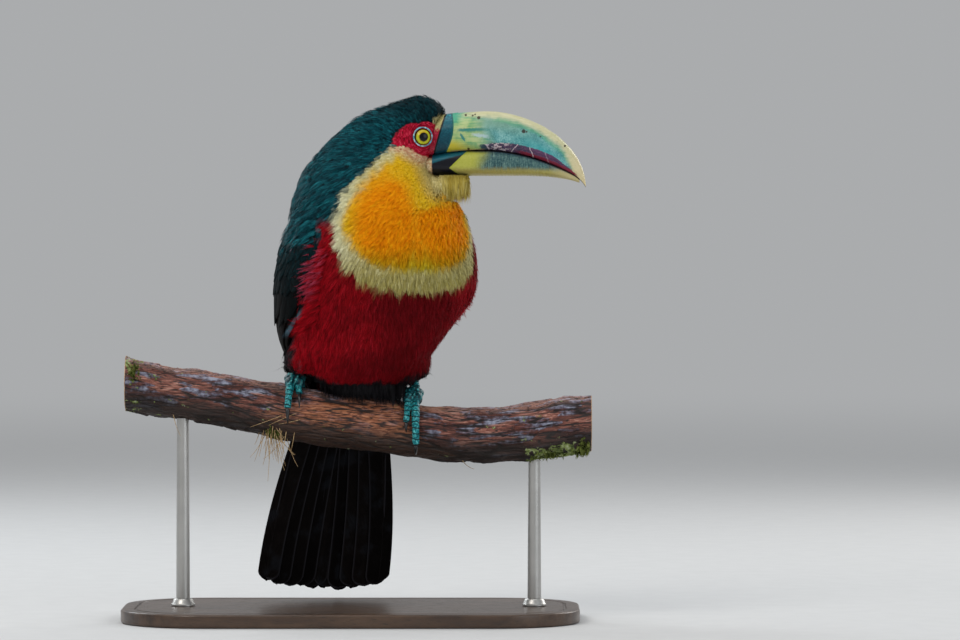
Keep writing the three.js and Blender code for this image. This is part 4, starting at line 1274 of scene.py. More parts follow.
# %% Plumage paint
def plumage(name, on_skin=False):
    paint = Paint(name, Specular_IOR_Level=0.07)
    bib, warm, pale = paint.split(paint.attribute("marks"))
    red = paint.attribute("marks", 3)
    black, bare, lores = paint.split(paint.attribute("more"))
    salmon = paint.attribute("more", 3)
    along, shade, tuft = paint.split(paint.attribute("feather"))
    fine = paint.noise(0.7, detail=3)
    tone = (shade * 0.6 + tuft * 0.4)
    # blue-black cap, with a painted teal sheen on the lighter strands
    cap = paint.ramp(tone * 0.75 + along * 0.25, [
        (0.26, (0.0005, 0.004, 0.006)), (0.42, (0.001, 0.024, 0.034)), (0.6, (0.002, 0.068, 0.092)),
        (0.86, (0.016, 0.24, 0.28)),
    ])
    # painted shade: the front and top of the crown darker
    crown = (paint.x * 0.6 + paint.z).step(338, 366) * 0.62
    cap = paint.blend(crown, cap, (0.0006, 0.004, 0.006))
    crimson = paint.ramp(tone * 0.7 + along * 0.3, [
        (0.18, (0.04, 0.0003, 0.001)), (0.4, (0.17, 0.0008, 0.003)), (0.62, (0.4, 0.002, 0.008)),
        (0.88, (0.7, 0.022, 0.045)),
    ])
    low = paint.z.step(190, 158)
    broad = paint.noise(0.035, detail=2).step(0.44, 0.6) * 0.6
    middle = paint.x.step(8, 30) * paint.x.step(78, 60)
    crimson = paint.coats(
        paint.blend(broad, paint.blend(0.45, crimson, (0.06, 0.0005, 0.002)), crimson),
        (low * 0.4, (0.1, 0.0005, 0.003)),
        (middle * 0.55, (0.085, 0.0004, 0.002)),
        (paint.x.step(2, -24) * tone.step(0.3, 0.6) * 0.55, (0.56, 0.002, 0.012)),
        (salmon * along.step(0.55, 1), (0.72, 0.14, 0.27)),
    )
    soft = tone * 0.8 + along * 0.2
    lemon = paint.ramp(soft, [
        (0.2, (0.58, 0.32, 0.004)), (0.55, (0.93, 0.6, 0.009)), (0.85, (0.94, 0.72, 0.08)),
    ])
    orange = paint.ramp(soft, [
        (0.2, (0.74, 0.19, 0.001)), (0.55, (1, 0.36, 0.0012)), (0.85, (1, 0.52, 0.006)),
    ])
    ivory = paint.ramp(soft, [
        (0.2, (0.42, 0.36, 0.13)), (0.55, (0.72, 0.66, 0.33)), (0.85, (0.9, 0.87, 0.64)),
    ])
    straw = paint.ramp(soft, [
        (0.2, (0.22, 0.17, 0.02)), (0.55, (0.4, 0.33, 0.055)), (0.85, (0.66, 0.62, 0.26)),
    ])
    shade_under_bill = paint.x.step(56, 66) * paint.z.step(274, 280)
    ivory = paint.coats(
        ivory,
        (paint.x.step(10, -8) * 0.5, (0.88, 0.9, 0.66)),
        # towards the bottom the cream turns to straw: yellower, and darker as painted shade
        (paint.z.step(256, 222) * 0.75, straw),
        # painted shade under the bill: the beard darker there
        (shade_under_bill * 0.85, paint.blend(0.25, straw, (0.1, 0.07, 0.008))),
    )
    rosy = paint.ramp(tuft * 0.8 + shade * 0.2, [
        (0.26, (0.6, 0.15, 0.1)), (0.46, (0.8, 0.42, 0.26)), (0.68, (0.92, 0.78, 0.5)),
    ])
    breast = paint.blend(warm, lemon, orange)
    # painted shade: the lower bib darker
    breast = paint.blend(paint.z.step(254, 232), breast, (0.62, 0.76, 0.8), "MULTIPLY")
    breast = paint.coats(breast, (pale, ivory), (salmon * (1 - red) * 0.85, rosy))
    ink = paint.ramp(tone * 0.7 + along * 0.3, [
        (0.3, (0.003, 0.0025, 0.003)), (0.7, (0.01, 0.009, 0.011)), (0.95, (0.034, 0.032, 0.038)),
    ])
    lore = paint.ramp(tone, [(0.3, (0.5, 0.42, 0.16)), (0.7, (0.72, 0.66, 0.36))])
    colour = paint.coats(cap, (red, crimson), (black, ink), (bib, breast), (lores, lore))
    if on_skin:
        pebble = paint.noise(1.9, detail=4, roughness=0.6)
        # flesh: painted highlight on the crests of the wrinkles and painted shade in their folds
        flesh = paint.ramp(shade * 0.8 + pebble * 0.4 - 0.1, [
            (0.3, (0.1, 0.0002, 0.005)), (0.44, (0.3, 0.0006, 0.014)), (0.6, (0.44, 0.002, 0.028)),
            (0.86, (0.66, 0.07, 0.12)),
        ])
        lit = (paint.x - 52 + (314 - paint.z) * 0.7).step(0, 7)
        flesh = paint.blend(lit * 0.5, flesh, (0.5, 0.018, 0.012))
        # painted shade on the skin under the coat, less under the bib
        shaded_under_coat = paint.blend(0.55 - bib * 0.35, colour, (0, 0, 0))
        colour = paint.blend(bare, shaded_under_coat, flesh)
        return paint.finish(colour, 0.62 - bare * 0.18, pebble * bare + fine * 0.3, 0.26)
    colour = paint.blend(along.step(0.45, 0) * (0.55 - bib * 0.3), colour, (0, 0, 0))
    return paint.finish(colour, 0.62 - (1 - red.most(bib)) * 0.16)


keep(skin, plumage("skin_paint", on_skin=True), "red_feather", *FLESH)


# %% [markdown]
# ## The eyes
#
# The eyeball sits deep behind the lid, and only a low dome shows: a near-black rim, the eye's dark margin
# deepened as painted shade under the lid, a yellow-green iris and a round pupil. It is a ball whose poles are
# turned to look outwards, so its rings follow pupil and iris.
# A clear coat gives the wet highlight. The lid's edge carries a ring of small pale blue beads.

# %% Eyeballs and beads
paint = Paint("wet_eye", Coat_Weight=0.55, Coat_Roughness=0.02, Specular_IOR_Level=0)
reach, angle, _ = paint.split(paint.attribute("iris"))
reach = reach * 10
spokes = paint.noise(1, paint.node("CombineXYZ", None, {0: angle * 16, 1: reach * 0.8, 2: 0}), 4)
iris = paint.ramp(reach * 0.1 + (spokes - 0.5) * 0.12, [
    (0.28, (0.16, 0.13, 0.003)), (0.33, (0.46, 0.42, 0.006)), (0.42, (0.56, 0.6, 0.025)),
    (0.48, (0.2, 0.26, 0.01)),
])
orange_side = (angle - 0.8).size().step(0.22, 0.05)
iris = paint.blend(orange_side * 0.5, iris, (0.6, 0.3, 0.01))
eye = paint.coats(
    (0.002, 0.002, 0.003), ((reach - 2.85).step(-0.12, 0.12), iris),
    # the eye's dark margin, near black as painted shade under the lid
    ((reach - 4.95).step(-0.12, 0.15), (0.003, 0.01, 0.009)),
)
EYE_PAINT = paint.finish(eye, 0.08)

paint = Paint("lid_beads", Coat_Weight=0.2, Coat_Roughness=0.15, Specular_IOR_Level=0.2)
tone = paint.attribute("tone", 2)
bead = paint.ramp(tone, [(0.1, (0.02, 0.22, 0.3)), (0.45, (0.09, 0.46, 0.58)), (0.8, (0.4, 0.74, 0.82))])
BEADS = paint.finish(bead, 0.3)

LOOK = {"ahead": 0.25, "down": 0.2}  # how far the pupil sits from the middle, in millimetres
BEAD_COUNT = 38
for name, side in (("right", -1), ("left", 1)):
    lid, out, ahead, up = eye_frame(side)
    centre = lid - out * EYE["sunk"]
    bpy.ops.mesh.primitive_uv_sphere_add(segments=64, ring_count=48, radius=EYE["radius"] * MM)
    ball = bpy.context.object
    ball.name = f"eyeball_{name}"
    local = places(ball)
    put(ball, centre + local[:, :1] * ahead + local[:, 1:2] * np.cross(out, ahead) + local[:, 2:] * out)
    across = local[:, 0] - LOOK["ahead"]
    along_up = local[:, 1] * np.sign(np.cross(out, ahead).dot(up)) + LOOK["down"]
    far = np.where(local[:, 2] > 0, np.hypot(across, along_up), 9)
    store(ball, "iris", np.stack([far / 10, np.arctan2(along_up, across) / (2 * np.pi) + 0.5, far, far], -1))
    keep(ball, EYE_PAINT, "eye", f"eye_{name}")

    bpy.ops.mesh.primitive_uv_sphere_add(segments=10, ring_count=6, radius=1)
    beads = bpy.context.object
    beads.name = f"lid_beads_{name}"
    one = bmesh.new()
    one.from_mesh(beads.data)
    many = bmesh.new()
    draw = np.random.default_rng(71)
    tones = []
    for turn in np.arange(0, 2 * np.pi, 2 * np.pi / BEAD_COUNT):
        size = draw.uniform(0.46, 0.62)
        middle = lid + out * (LID["height"] - 0.22) + (ahead * np.cos(turn) + up * np.sin(turn)) * LID["top"]
        copied = {vert: many.verts.new(Vector(middle * MM) + vert.co * size * MM) for vert in one.verts}
        for face in one.faces:
            many.faces.new([copied[vert] for vert in face.verts])
        tones += [draw.uniform(0.1, 0.9)] * len(one.verts)
    many.to_mesh(beads.data)
    one.free()
    many.free()
    store(beads, "tone", np.array(tones))
    keep(beads, BEADS, "eye")


# %% [markdown]
# ## The coat of feathers
#
# Small body feathers end in loose barbs, so from outside they look like overlapping tufts of soft hair.
# Each tuft here is one feather's visible end: nine thin flat strands that start side by side on the skin,
# follow its curve and draw together a little at the tip. Roots are spread evenly over the skin by area.
# The lie of the coat is one field of directions: away from the bill on the head, down and back on the body.
# The strands are far too many for hand work, so their corners are worked out as arrays and made in one go.

# %% Where feathers grow, and which way they lie
def from_face(points):
    return np.hypot(head_place(points)[0] - 56, points[:, 2] - 314)


def solid_tree(*nodes):
    piece = merged_copy("probe", *nodes)
    tree = tree_of(piece)
    bpy.data.objects.remove(piece)
    return tree


def inside(node, points, room=0):
    """Which places lie inside a solid, or closer to it than `room` millimetres."""
    low, high = (np.array(corner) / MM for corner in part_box(node))
    near = np.flatnonzero(((points > low - room) & (points < high + room)).all(1))
    found = np.zeros(len(points), bool)
    if len(near):
        _, _, outside = nearest(solid_tree(node), points[near])
        found[near] = outside < room
    return found


def lie_of(points, normals):
    """The way the feathers lie at each place, along the skin."""
    away = unit(points - BILL_BASE)
    down = unit(np.array([-0.12, 0.22, -0.97]) + 0.01 * (points[:, :1] - 12) * (1, 0, 0))
    way = mix(away, down, smooth(points[:, 2], 268, 196)[:, None])
    stray = np.stack([waves(points, 17, seed) for seed in (81, 82, 83)], -1)
    way = unit(way + 0.16 * stray)
    return unit(way - normals * (way * normals).sum(1, keepdims=True))


def streaks(points):
    """Uneven tone in long streaks that follow the lie of the coat, about from -1 to 1."""
    from_bill = points - BILL_BASE
    far = np.linalg.norm(from_bill, axis=1)[:, None]
    head = waves(from_bill / far * 48 + far * 0.1, 1.9, 86)
    body = waves(points * (1, 1, 0.12), 2.1, 87)
    return mix(head, body, smooth(points[:, 2], 252, 215))


def hanging(points, sway, seed):
    """Feathers that hang free: straight down, a little forward along X, each a little astray."""
    stray = np.random.default_rng(seed).normal(0, 0.09, (len(points), 3))
    return unit(np.array([sway, 0.02, -1.0]) + stray)


def wing_bed_place(points):
    """Station down the folded wing, and turn round its bed in degrees from the breast."""
    x, y, back, plus, minus = curve_through(WING_BED, np.clip(points[:, 2], 115, 268))
    ahead = np.array([math.cos(BODY_HEADING), math.sin(BODY_HEADING)])
    offset = points[:, :2] - np.stack([x, y], -1)
    forward = offset @ ahead
    across = offset @ np.array([-ahead[1], ahead[0]])
    forward = np.sign(forward) * np.abs(forward / np.where(forward > 0, back + 8, back)) ** 1.1
    across = np.sign(across) * np.abs(across / np.where(across > 0, plus, minus)) ** 1.1
    return (WING_TOP - points[:, 2]) / (WING_TOP - WING_TIP), np.degrees(np.arctan2(across, forward))


WING_TOP, WING_TIP = 266, 121
TUCK = 34  # how much further back the left wing starts than the right, in degrees at the shoulder
WING_BED = [  # height, centre x, centre y, reach back, to +X, to -X
    (115, 1.5, 22, 34, 22, 22), (140, 5, 11, 38, 32, 32), (165, 8, 0, 43, 43.5, 43.5),
    (190, 9.5, -10, 44, 52, 51), (213, 16, -18, 43, 62.5, 59), (228, 18, -22, 41, 64.5, 60.5),
    (242, 20, -25, 39, 62, 60.5), (255, 19.5, -26, 38, 60, 58.5), (268, 18, -27, 37, 56, 55),
]
WING_STATIONS = [  # station from top to tip, front edge and back edge in degrees, thickness
    (0, 64, 94, 4.5), (0.08, 57, 118, 7), (0.25, 60, 143, 8.5), (0.45, 70, 158, 8.5), (0.65, 113, 165, 7.5),
    (0.7, 123, 166, 7), (0.82, 137, 169, 6), (0.94, 147, 171, 4.5), (1, 154, 168, 3),
]


def wing_front(station, turn):
    """Front and back edge of the wing on that side, in degrees from the breast."""
    front, back, _ = curve_through(WING_STATIONS, np.clip(station, 0, 1))
    return front + np.where(turn > 0, TUCK * (1 - np.clip(station, 0, 1)), 0), back


def under_wing(points):
    """1 where a wing lies on the skin, 0 outside it."""
    station, turn = wing_bed_place(points)
    front, back = wing_front(station, turn)
    across = 2 * (np.abs(turn) - front) / (back - front) - 1
    return smooth(0.86 - np.abs(across), -0.05, 0.05) * smooth(station, 0.1, 0.13)


# %% Roots spread over the skin
def spacing(points):
    """Distance between neighbouring tufts, in millimetres: finest on the face."""
    body = mix(1.22, 1.02, smooth(points[:, 2], 235, 290))
    return mix(0.72, body, smooth(from_face(points), 12, 60))


def spread_roots(piece, seed):
    """Even random places on a mesh: as many on each face as its area asks for."""
    draw = np.random.default_rng(seed)
    mesh = piece.data
    corners = places(piece)
    normals = outward(piece)
    mesh.calc_loop_triangles()
    faces = numbers(mesh.loop_triangles, "vertices", 3).astype(int)
    a, b, c = (corners[faces[:, i]] for i in range(3))
    area = np.linalg.norm(np.cross(b - a, c - a), axis=1) / 2
    wanted = area / spacing((a + b + c) / 3) ** 2
    total = np.cumsum(wanted)
    marks_on_line = np.arange(int(total[-1])) + draw.uniform(0, 1, int(total[-1]))
    chosen = np.clip(np.searchsorted(total, marks_on_line), 0, len(faces) - 1)
    u, v = draw.uniform(0, 1, (2, len(chosen)))
    flip = u + v > 1
    u, v = np.where(flip, 1 - u, u), np.where(flip, 1 - v, v)
    blend = np.stack([1 - u - v, u, v], -1)[:, :, None]
    spot = (corners[faces[chosen]] * blend).sum(1)
    return spot, unit((normals[faces[chosen]] * blend).sum(1))


skin_tree = tree_of(skin)
roots, ways_out = spread_roots(skin, 91)
keep_root = markings(roots)[:, 5] < 0.45
reach, _, _ = round_eye(roots)
keep_root &= ~((reach < 8) & (np.abs(head_place(roots)[1]) > 8))
keep_root &= under_wing(roots) < 0.5
for node, room in (("bill_upper", 0.25), ("bill_lower", 0.25), ("tail", 0), ("perch_branch", 0.3)):
    keep_root &= ~inside(node, roots, room)
roots, ways_out = roots[keep_root], ways_out[keep_root]
gape, gape_out = spread_roots(bpy.data.objects["bill_lower_horn"], 92)
forward, side = head_place(gape)
at_root = (forward < 55.2) & (np.abs(side) > 5) & (gape[:, 2] < 307) & (np.abs(gape_out[:, 0]) < 0.8)
gape, gape_out = gape[at_root], gape_out[at_root]
print("tufts:", len(roots), "of up to 52,000")

# %% Strands as arrays
STRANDS = 9
FACES_OF_STRAND = np.array([0, 1, 3, 2, 2, 3, 4])  # a four-sided foot and a three-sided tip


def strand_mesh(name, points, feather, marks, uv):
    """One mesh of many strands, from five corners for each: two at the root, two half way, and a tip."""
    count = len(points)
    mesh = bpy.data.meshes.new(name)
    mesh.vertices.add(count * 5)
    mesh.loops.add(count * 7)
    mesh.polygons.add(count * 2)
    mesh.vertices.foreach_set("co", (points * MM).astype(np.float32).ravel())
    corners = np.arange(count)[:, None] * 5 + FACES_OF_STRAND
    mesh.loops.foreach_set("vertex_index", corners.astype(np.int32).ravel())
    starts = np.arange(count)[:, None] * 7 + np.array([0, 4])
    mesh.polygons.foreach_set("loop_start", starts.astype(np.int32).ravel())
    layer = mesh.uv_layers.new(name="OFBake")
    layer.data.foreach_set("uv", uv[:, FACES_OF_STRAND].astype(np.float32).ravel())
    mesh.update(calc_edges=True)
    piece = add_object(name, mesh)
    store(piece, "feather", feather.reshape(-1, 4))
    if marks is not None:
        store(piece, "marks", np.repeat(marks[:, :4], 5, axis=0))
        store(piece, "more", np.repeat(marks[:, 4:], 5, axis=0))
    return piece


def through(a, b, c, t):
    """A place on the curve that passes a, b and c at t = 0, a half and 1."""
    return a * ((1 - t) * (1 - 2 * t)) + b * (4 * t * (1 - t)) + c * (t * (2 * t - 1))


def unwrap(points):
    """Places on an unwrap of the skin: the turn round the body's line, and the way up along its side."""
    middle = body_axis(points[:, 2])
    turn = np.arctan2(points[:, 1] - middle[:, 1], points[:, 0] - middle[:, 0])
    return np.stack([turn / (2 * np.pi) + 0.5, np.interp(points[:, 2], SIDE_Z, SIDE_RUN)], -1)


BODY_SIDE = np.array([  # height, reach of the body from its middle line
    (145, 0), (153, 18), (161, 31), (170, 41), (190, 48), (228, 55), (255, 53), (286, 43), (303, 34),
    (320, 29), (335, 21), (341, 14), (346, 7), (347.5, 0),
])
SIDE_Z = BODY_SIDE[:, 0]
SIDE_RUN = np.concatenate([[0], np.cumsum(np.linalg.norm(np.diff(BODY_SIDE, axis=0), axis=1))])
SIDE_RUN = SIDE_RUN / SIDE_RUN[-1]
PATCH = 0.003
CELLS = 325
SINK = 0.3  # how deep a tuft's root sits in the skin, in millimetres


def patches(points):
    """The lower left corner of each tuft's own patch: the free cell nearest to its root on the unwrap."""
    taken = set()
    wanted = np.clip((unwrap(points) * CELLS).astype(int), 0, CELLS - 1)
    spiral = [(i, j) for i in range(-40, 41) for j in range(-40, 41)]
    spiral.sort(key=lambda c: c[0] ** 2 + c[1] ** 2)
    found = []
    for column, row in wanted:
        for i, j in spiral:
            cell = (column + i, row + j)
            if cell not in taken and 0 <= cell[0] < CELLS and 0 <= cell[1] < CELLS:
                break
        taken.add(cell)
        found.append(cell)
    return (np.array(found) + 0.5) / (CELLS + 1)


def tufts(name, roots, ways_out, lie, length, width, ribbon, rise, marks, seed, surface=None, fray=0.12, loose=0):
    """Grows one tuft of strands from each root, and gives the mesh of them all.

    length, width and ribbon are the tuft's length and width and the width of one strand, in millimetres.
    rise is how high its tip stands over the skin, and surface a search tree of the skin that it follows.
    loose is how much higher the most ruffled tufts stand.
    """
    draw = np.random.default_rng(seed)
    count = len(roots)
    length, width, ribbon, rise = (np.broadcast_to(size, count) for size in (length, width, ribbon, rise))
    half_way, tip = roots + lie * (length * 0.5)[:, None], roots + lie * length[:, None]
    half_out, tip_out = ways_out, ways_out
    if surface is not None:
        half_way, half_out, _ = nearest(surface, half_way)
        onward = unit(lie - half_out * (lie * half_out).sum(1, keepdims=True))
        tip, tip_out, _ = nearest(surface, half_way + onward * (length * 0.5)[:, None])
    stand = draw.uniform(0.75, 1.05, count) + loose * draw.uniform(0, 1, count) ** 3
    half_way = half_way + half_out * (rise * 0.8 * stand)[:, None]
    tip = tip + tip_out * (rise * stand)[:, None]
    foot = roots - ways_out * SINK
    beside = unit(np.cross(ways_out, lie))
    tip_beside = unit(np.cross(tip_out, lie))

    shape = (count, STRANDS)
    place = np.linspace(-1, 1, STRANDS)[None, :] + draw.uniform(-0.12, 0.12, shape)
    reach = (1 - 0.22 * place**2 + draw.normal(0, fray, shape))[:, :, None]
    start = draw.uniform(-0.16, 0.1, shape)[:, :, None]
    spread = (place * (width / 2)[:, None])[:, :, None]
    drift = (draw.normal(0, 0.1, shape) * width[:, None])[:, :, None]
    cup = (-0.18 * place**2 * np.minimum(width, 2.5)[:, None])[:, :, None]
    a, b, c = (part[:, None, :] for part in (foot, half_way, tip))
    low = through(a, b, c, start * 0.5) + beside[:, None] * spread
    middle = through(a, b, c, start * 0.3 + reach * 0.52) + beside[:, None] * (spread + drift * 0.4)
    middle = middle + half_out[:, None] * cup
    end = through(a, b, c, reach) + tip_beside[:, None] * (spread * 0.8 + drift)
    end = end + tip_out[:, None] * (cup + draw.normal(0, 0.06, shape)[:, :, None] * rise[:, None, None])
    roll = draw.normal(0, 0.33, shape)[:, :, None]
    half = (ribbon[:, None] * draw.uniform(0.7, 1.15, shape) / 2)[:, :, None]
    flat = (beside[:, None] * np.cos(roll) + half_out[:, None] * np.sin(roll)) * half
    corners = np.stack([low - flat * 0.7, low + flat * 0.7, middle - flat, middle + flat, end], 2)

    shade = np.clip(draw.normal(0.5, 0.2, shape), 0, 1)
    tone = np.clip(draw.normal(0.5, 0.16, (count, 1)) + 0.3 * streaks(roots)[:, None], 0, 1)
    along = np.array([0.0, 0.0, 0.55, 0.55, 1.0])
    looks = (along, shade[:, :, None], tone[:, :, None], np.abs(place)[:, :, None])
    feather = np.stack([np.broadcast_to(look, (*shape, 5)) for look in looks], -1)
    in_patch = np.array([[0, 0], [1, 0], [0, 0.5], [1, 0.5], [0.5, 1]]) * (0.86 / STRANDS, 0.97) * PATCH
    left = np.arange(STRANDS)[:, None, None] / STRANDS * PATCH * (1, 0)
    uv = (patches(roots)[:, None, None, :] + left + in_patch).reshape(-1, 5, 2)
    strand_marks = None if marks is None else np.repeat(marks, STRANDS, axis=0)
    return strand_mesh(name, corners.reshape(-1, 5, 3), feather, strand_marks, uv)


# %% Grow the coat, zone by zone
def feather_sizes(points, marks):
    """Length, width and strand width of a tuft at each place, in millimetres."""
    near_face = smooth(from_face(points), 58, 12)
    length = mix(8.2, 11, smooth(points[:, 2], 262, 200))
    length = mix(length, 3.4, near_face)
    width = mix(2.7, 1.15, near_face)
    ribbon = mix(0.33, 0.24, near_face)
    bib = marks[:, 0]
    return length * (1 - 0.28 * bib), width * (1 - 0.2 * bib), ribbon * (1 - 0.2 * bib)


COAT = plumage("feather_paint")
MOST_TUFTS = 7200  # 27 triangles in each keeps a piece under 200,000
SLOTS = {"cap": "cap_feather", "breast": "red_feather", "vent": "black_feather", "bib": "bib_feather"}


def zones(marks):
    """The zone that each tuft belongs to, by the strongest mask at its tip."""
    zone = np.full(len(marks), "cap", object)
    for title, mask in (("breast", 3), ("vent", 4), ("bib", 0), ("bib", 6)):
        zone[marks[:, mask] > 0.5] = title
    return zone


def from_top(chosen):
    return chosen[np.argsort(-roots[chosen, 2])]


def grow(title, slot_name, chosen, marks, seed, **settings):
    """Grows the chosen roots as one or more pieces, from the top down."""
    chosen = from_top(chosen)
    length, width, ribbon = feather_sizes(roots[chosen], marks[chosen])
    plan = {
        "lie": lie[chosen], "length": length, "width": width, "ribbon": ribbon,
        "rise": coat_depth(roots[chosen]), "surface": skin_tree, **settings,
    }
    parts = max(1, math.ceil(len(chosen) / MOST_TUFTS))
    for part, some in enumerate(np.array_split(np.arange(len(chosen)), parts)):
        mine = {key: value[some] if isinstance(value, np.ndarray) else value for key, value in plan.items()}
        piece = tufts(f"coat_{title}_{part + 1}", roots[chosen[some]], ways_out[chosen[some]],
                      marks=marks[chosen[some]], seed=seed + part, **mine)
        keep(piece, COAT, slot_name)


lie = lie_of(roots, ways_out)
length = feather_sizes(roots, markings(roots))[0]
marks = markings(roots + lie * length[:, None] * 0.8)
marks[:, 6] = np.maximum(marks[:, 6], markings(roots)[:, 6])
zone = zones(marks)
chin = on_chin(roots) > 0.5
low = (roots[:, 2] < 161) & (ways_out[:, 2] < -0.5) & (roots[:, 1] < 22) & ~chin
zone[chin] = "chin"
zone[low] = "low"
for number, (title, slot_name) in enumerate(SLOTS.items()):
    chosen = from_top(np.flatnonzero(zone == title))
    ruffled = 0.9 + 1.6 * smooth(roots[chosen, 2], 326, 338) if title == "cap" else 0.4
    grow(title, slot_name, chosen, marks, 100 + 10 * number, loose=ruffled)

# %% Beard, vent and the filaments over the wing
beard = from_top(np.flatnonzero(zone == "chin"))
roots[beard, 2] = np.minimum(roots[beard, 2] + 4, 295)
roots[beard, 0] = np.minimum(roots[beard, 0], 78)
slant = 279.5 + 3 * smooth(roots[beard, 0], 70, 80)
beard_length = np.clip(roots[beard, 2] - slant, 3, 14.5)
beard_length *= np.random.default_rng(152).uniform(0.55, 1.08, len(beard))
grow("chin", "bib_feather", beard, marks, 150, surface=None, length=beard_length, fray=0.2,
     lie=hanging(roots[beard], -0.02, 151), rise=0.3, ribbon=0.26, width=1.5, loose=0.9)

roots, ways_out = np.concatenate([roots, gape]), np.concatenate([ways_out, gape_out])
lie = np.concatenate([lie, lie_of(gape, gape_out)])
marks = np.concatenate([marks, markings(gape)])
marks[len(zone):, :3] = (1, 0, 1)
marks[len(zone):, 5:7] = 0
marks[len(zone):, 7] = 0.6
on_gape = np.arange(len(zone), len(roots))
zone = np.concatenate([zone, np.full(len(gape), "gape", object)])
grow("gape", "bib_feather", on_gape, marks, 155, surface=None, rise=0.45)

hem = np.flatnonzero(zone == "low")
foot = np.abs(roots[hem, 0] - 41) < 5.2
hem = from_top(hem[~foot | (roots[hem, 1] > -3)])
bed_z, bed_radius = branch_at(roots[hem, 0])
over_branch = bed_z + np.sqrt(np.clip(bed_radius**2 - roots[hem, 1] ** 2, 0, None)) + 0.8
top_line = bed_z + bed_radius + 1.3 - 0.11 * roots[hem, 1]
room = np.where(roots[hem, 1] < -12, roots[hem, 2] - top_line, roots[hem, 2] - over_branch)
# every hem tuft is black: black thigh feathers, and painted shade in the gap between belly and branch
dark = marks.copy()
dark[:, 4] = 1
grow("hem", "black_feather", hem, dark, 160, surface=None, length=np.clip(room, 2, 17),
     lie=hanging(roots[hem], 0, 161), rise=0.5, width=2, fray=0.26)

station, turn = wing_bed_place(roots)
front, _ = wing_front(station, turn)
margin = front - np.abs(turn)
fringe = np.flatnonzero((margin > -1) & (margin < 12) & (roots[:, 2] > 196) & (roots[:, 2] < 251)
                        & (marks[:, 3] > 0.5) & (marks[:, 0] < 0.5) & ((turn < 0) | (roots[:, 2] < 236)))
fringe = from_top(fringe)
near_side = turn[fringe] < 0
to_wing = np.cross([0, 0, 1], ways_out[fringe]) * np.sign(turn[fringe])[:, None]
stray = 0.26 * np.random.default_rng(171).normal(size=to_wing.shape)
over_wing = unit(unit(to_wing) + np.array([0, 0, -0.45]) + stray)
rosy = marks.copy()
rosy[:, 7] = 0.6 * smooth(roots[:, 2], 214, 228) * smooth(roots[:, 2], 256, 246)
grow("fringe", "red_feather", fringe, rosy, 170, surface=None, length=np.where(near_side, 10, 7),
     lie=over_wing, rise=np.where(near_side, 6, 2.6), width=1.7, ribbon=0.2, fray=0.22, loose=0.4)


# %% [markdown]
# ## Wings and tail
#
# The long feathers are not tufts but vanes: a shaft with a flat web on each side, rounded at the end.
# Both a folded wing and a tail are stacks of vanes that overlap like shingles.
# Each vane is a small grid laid on the curved surface of the wing or the fan of the tail, a little higher
# at its tip than at its root, so that every row covers the roots of the row below it.
# The grids are given a thickness at the end, so each feather is a thin solid.

# %% Surfaces that the vanes lie on
def on_bed(z, turn, lift):
    x, y, back, plus, minus = curve_through(WING_BED, np.clip(z, 115, 268))
    along = rounded(np.cos(turn), 2.2)
    beside = rounded(np.sin(turn), 2.2)
    forward = along * (np.where(along > 0, back + 8, back) + lift)
    across = beside * (np.where(beside > 0, plus, minus) + lift)
    cos, sin = math.cos(BODY_HEADING), math.sin(BODY_HEADING)
    return np.stack([x + forward * cos - across * sin, y + forward * sin + across * cos, z], -1)


def wing_place(side, station, across, lift):
    """A place over the folded wing: station 0 at the shoulder, 1 at the tip; across -1 at the front edge."""
    shape = station.shape
    station, across, lift = (np.broadcast_to(v, shape).ravel() for v in (station, across, lift))
    front, back, thick = curve_through(WING_STATIONS, np.clip(station, 0, 1))
    tuck = np.clip(1 - station, 0, 1) if side > 0 else 0 * station
    front = front + TUCK * tuck
    thick = thick * (1 - 0.6 * tuck) * mix(0.3, 1, smooth(station, 0, 0.13))
    turn = np.radians(mix(front, back, (1 + across) / 2)) * side
    inner = np.clip(np.abs(across), 0, 1) ** 1.4
    depth = np.sqrt(1 - inner**2) ** (2 / 2.6) * thick
    return on_bed(mix(WING_TOP, WING_TIP, station), turn, depth + lift).reshape(*shape, 3)


TAIL = {"root_half": 20, "half": 45.5, "feathers": 10, "length": float(np.linalg.norm(TAIL_TIP - TAIL_ROOT))}
TAIL_ALONG = unit(TAIL_TIP - TAIL_ROOT)
BIRD_LEFT = np.array([0.951, 0.309, 0.0])
TAIL_ACROSS = unit(BIRD_LEFT - TAIL_ALONG * BIRD_LEFT.dot(TAIL_ALONG))
TAIL_BACK = np.cross(TAIL_ALONG, TAIL_ACROSS)
if TAIL_BACK[1] < 0:
    TAIL_BACK = -TAIL_BACK


def fan_half(part):
    return mix(TAIL["root_half"], TAIL["half"], np.sin(np.clip(part, 0, 1) * np.pi / 2) ** 1.25)


def tail_place(across, part, lift):
    """A place in the fan of the tail: across -1 to 1, part 0 at the root and 1 at the tip."""
    spread = fan_half(part)
    length = TAIL["length"] * (1 - 0.055 * np.abs(across) ** 3)
    roof = -4.5 * across**2 * part
    run = part * length + mix(-10, 0, part)
    return (TAIL_ROOT + run[..., None] * TAIL_ALONG + (across * spread)[..., None] * TAIL_ACROSS
            + (roof + lift)[..., None] * TAIL_BACK)


# %% One vane, and a stack of them
def web_width(part, tip=0.16, foot=0.35):
    """Width of a vane along its length, from 0 to 1: narrow at the foot, rounded at the tip."""
    grown = mix(foot, 1, smooth(part, 0, 0.35))
    return grown * np.sqrt(np.clip(1 - (np.clip(part - (1 - tip), 0, None) / tip) ** 2, 0, 1))


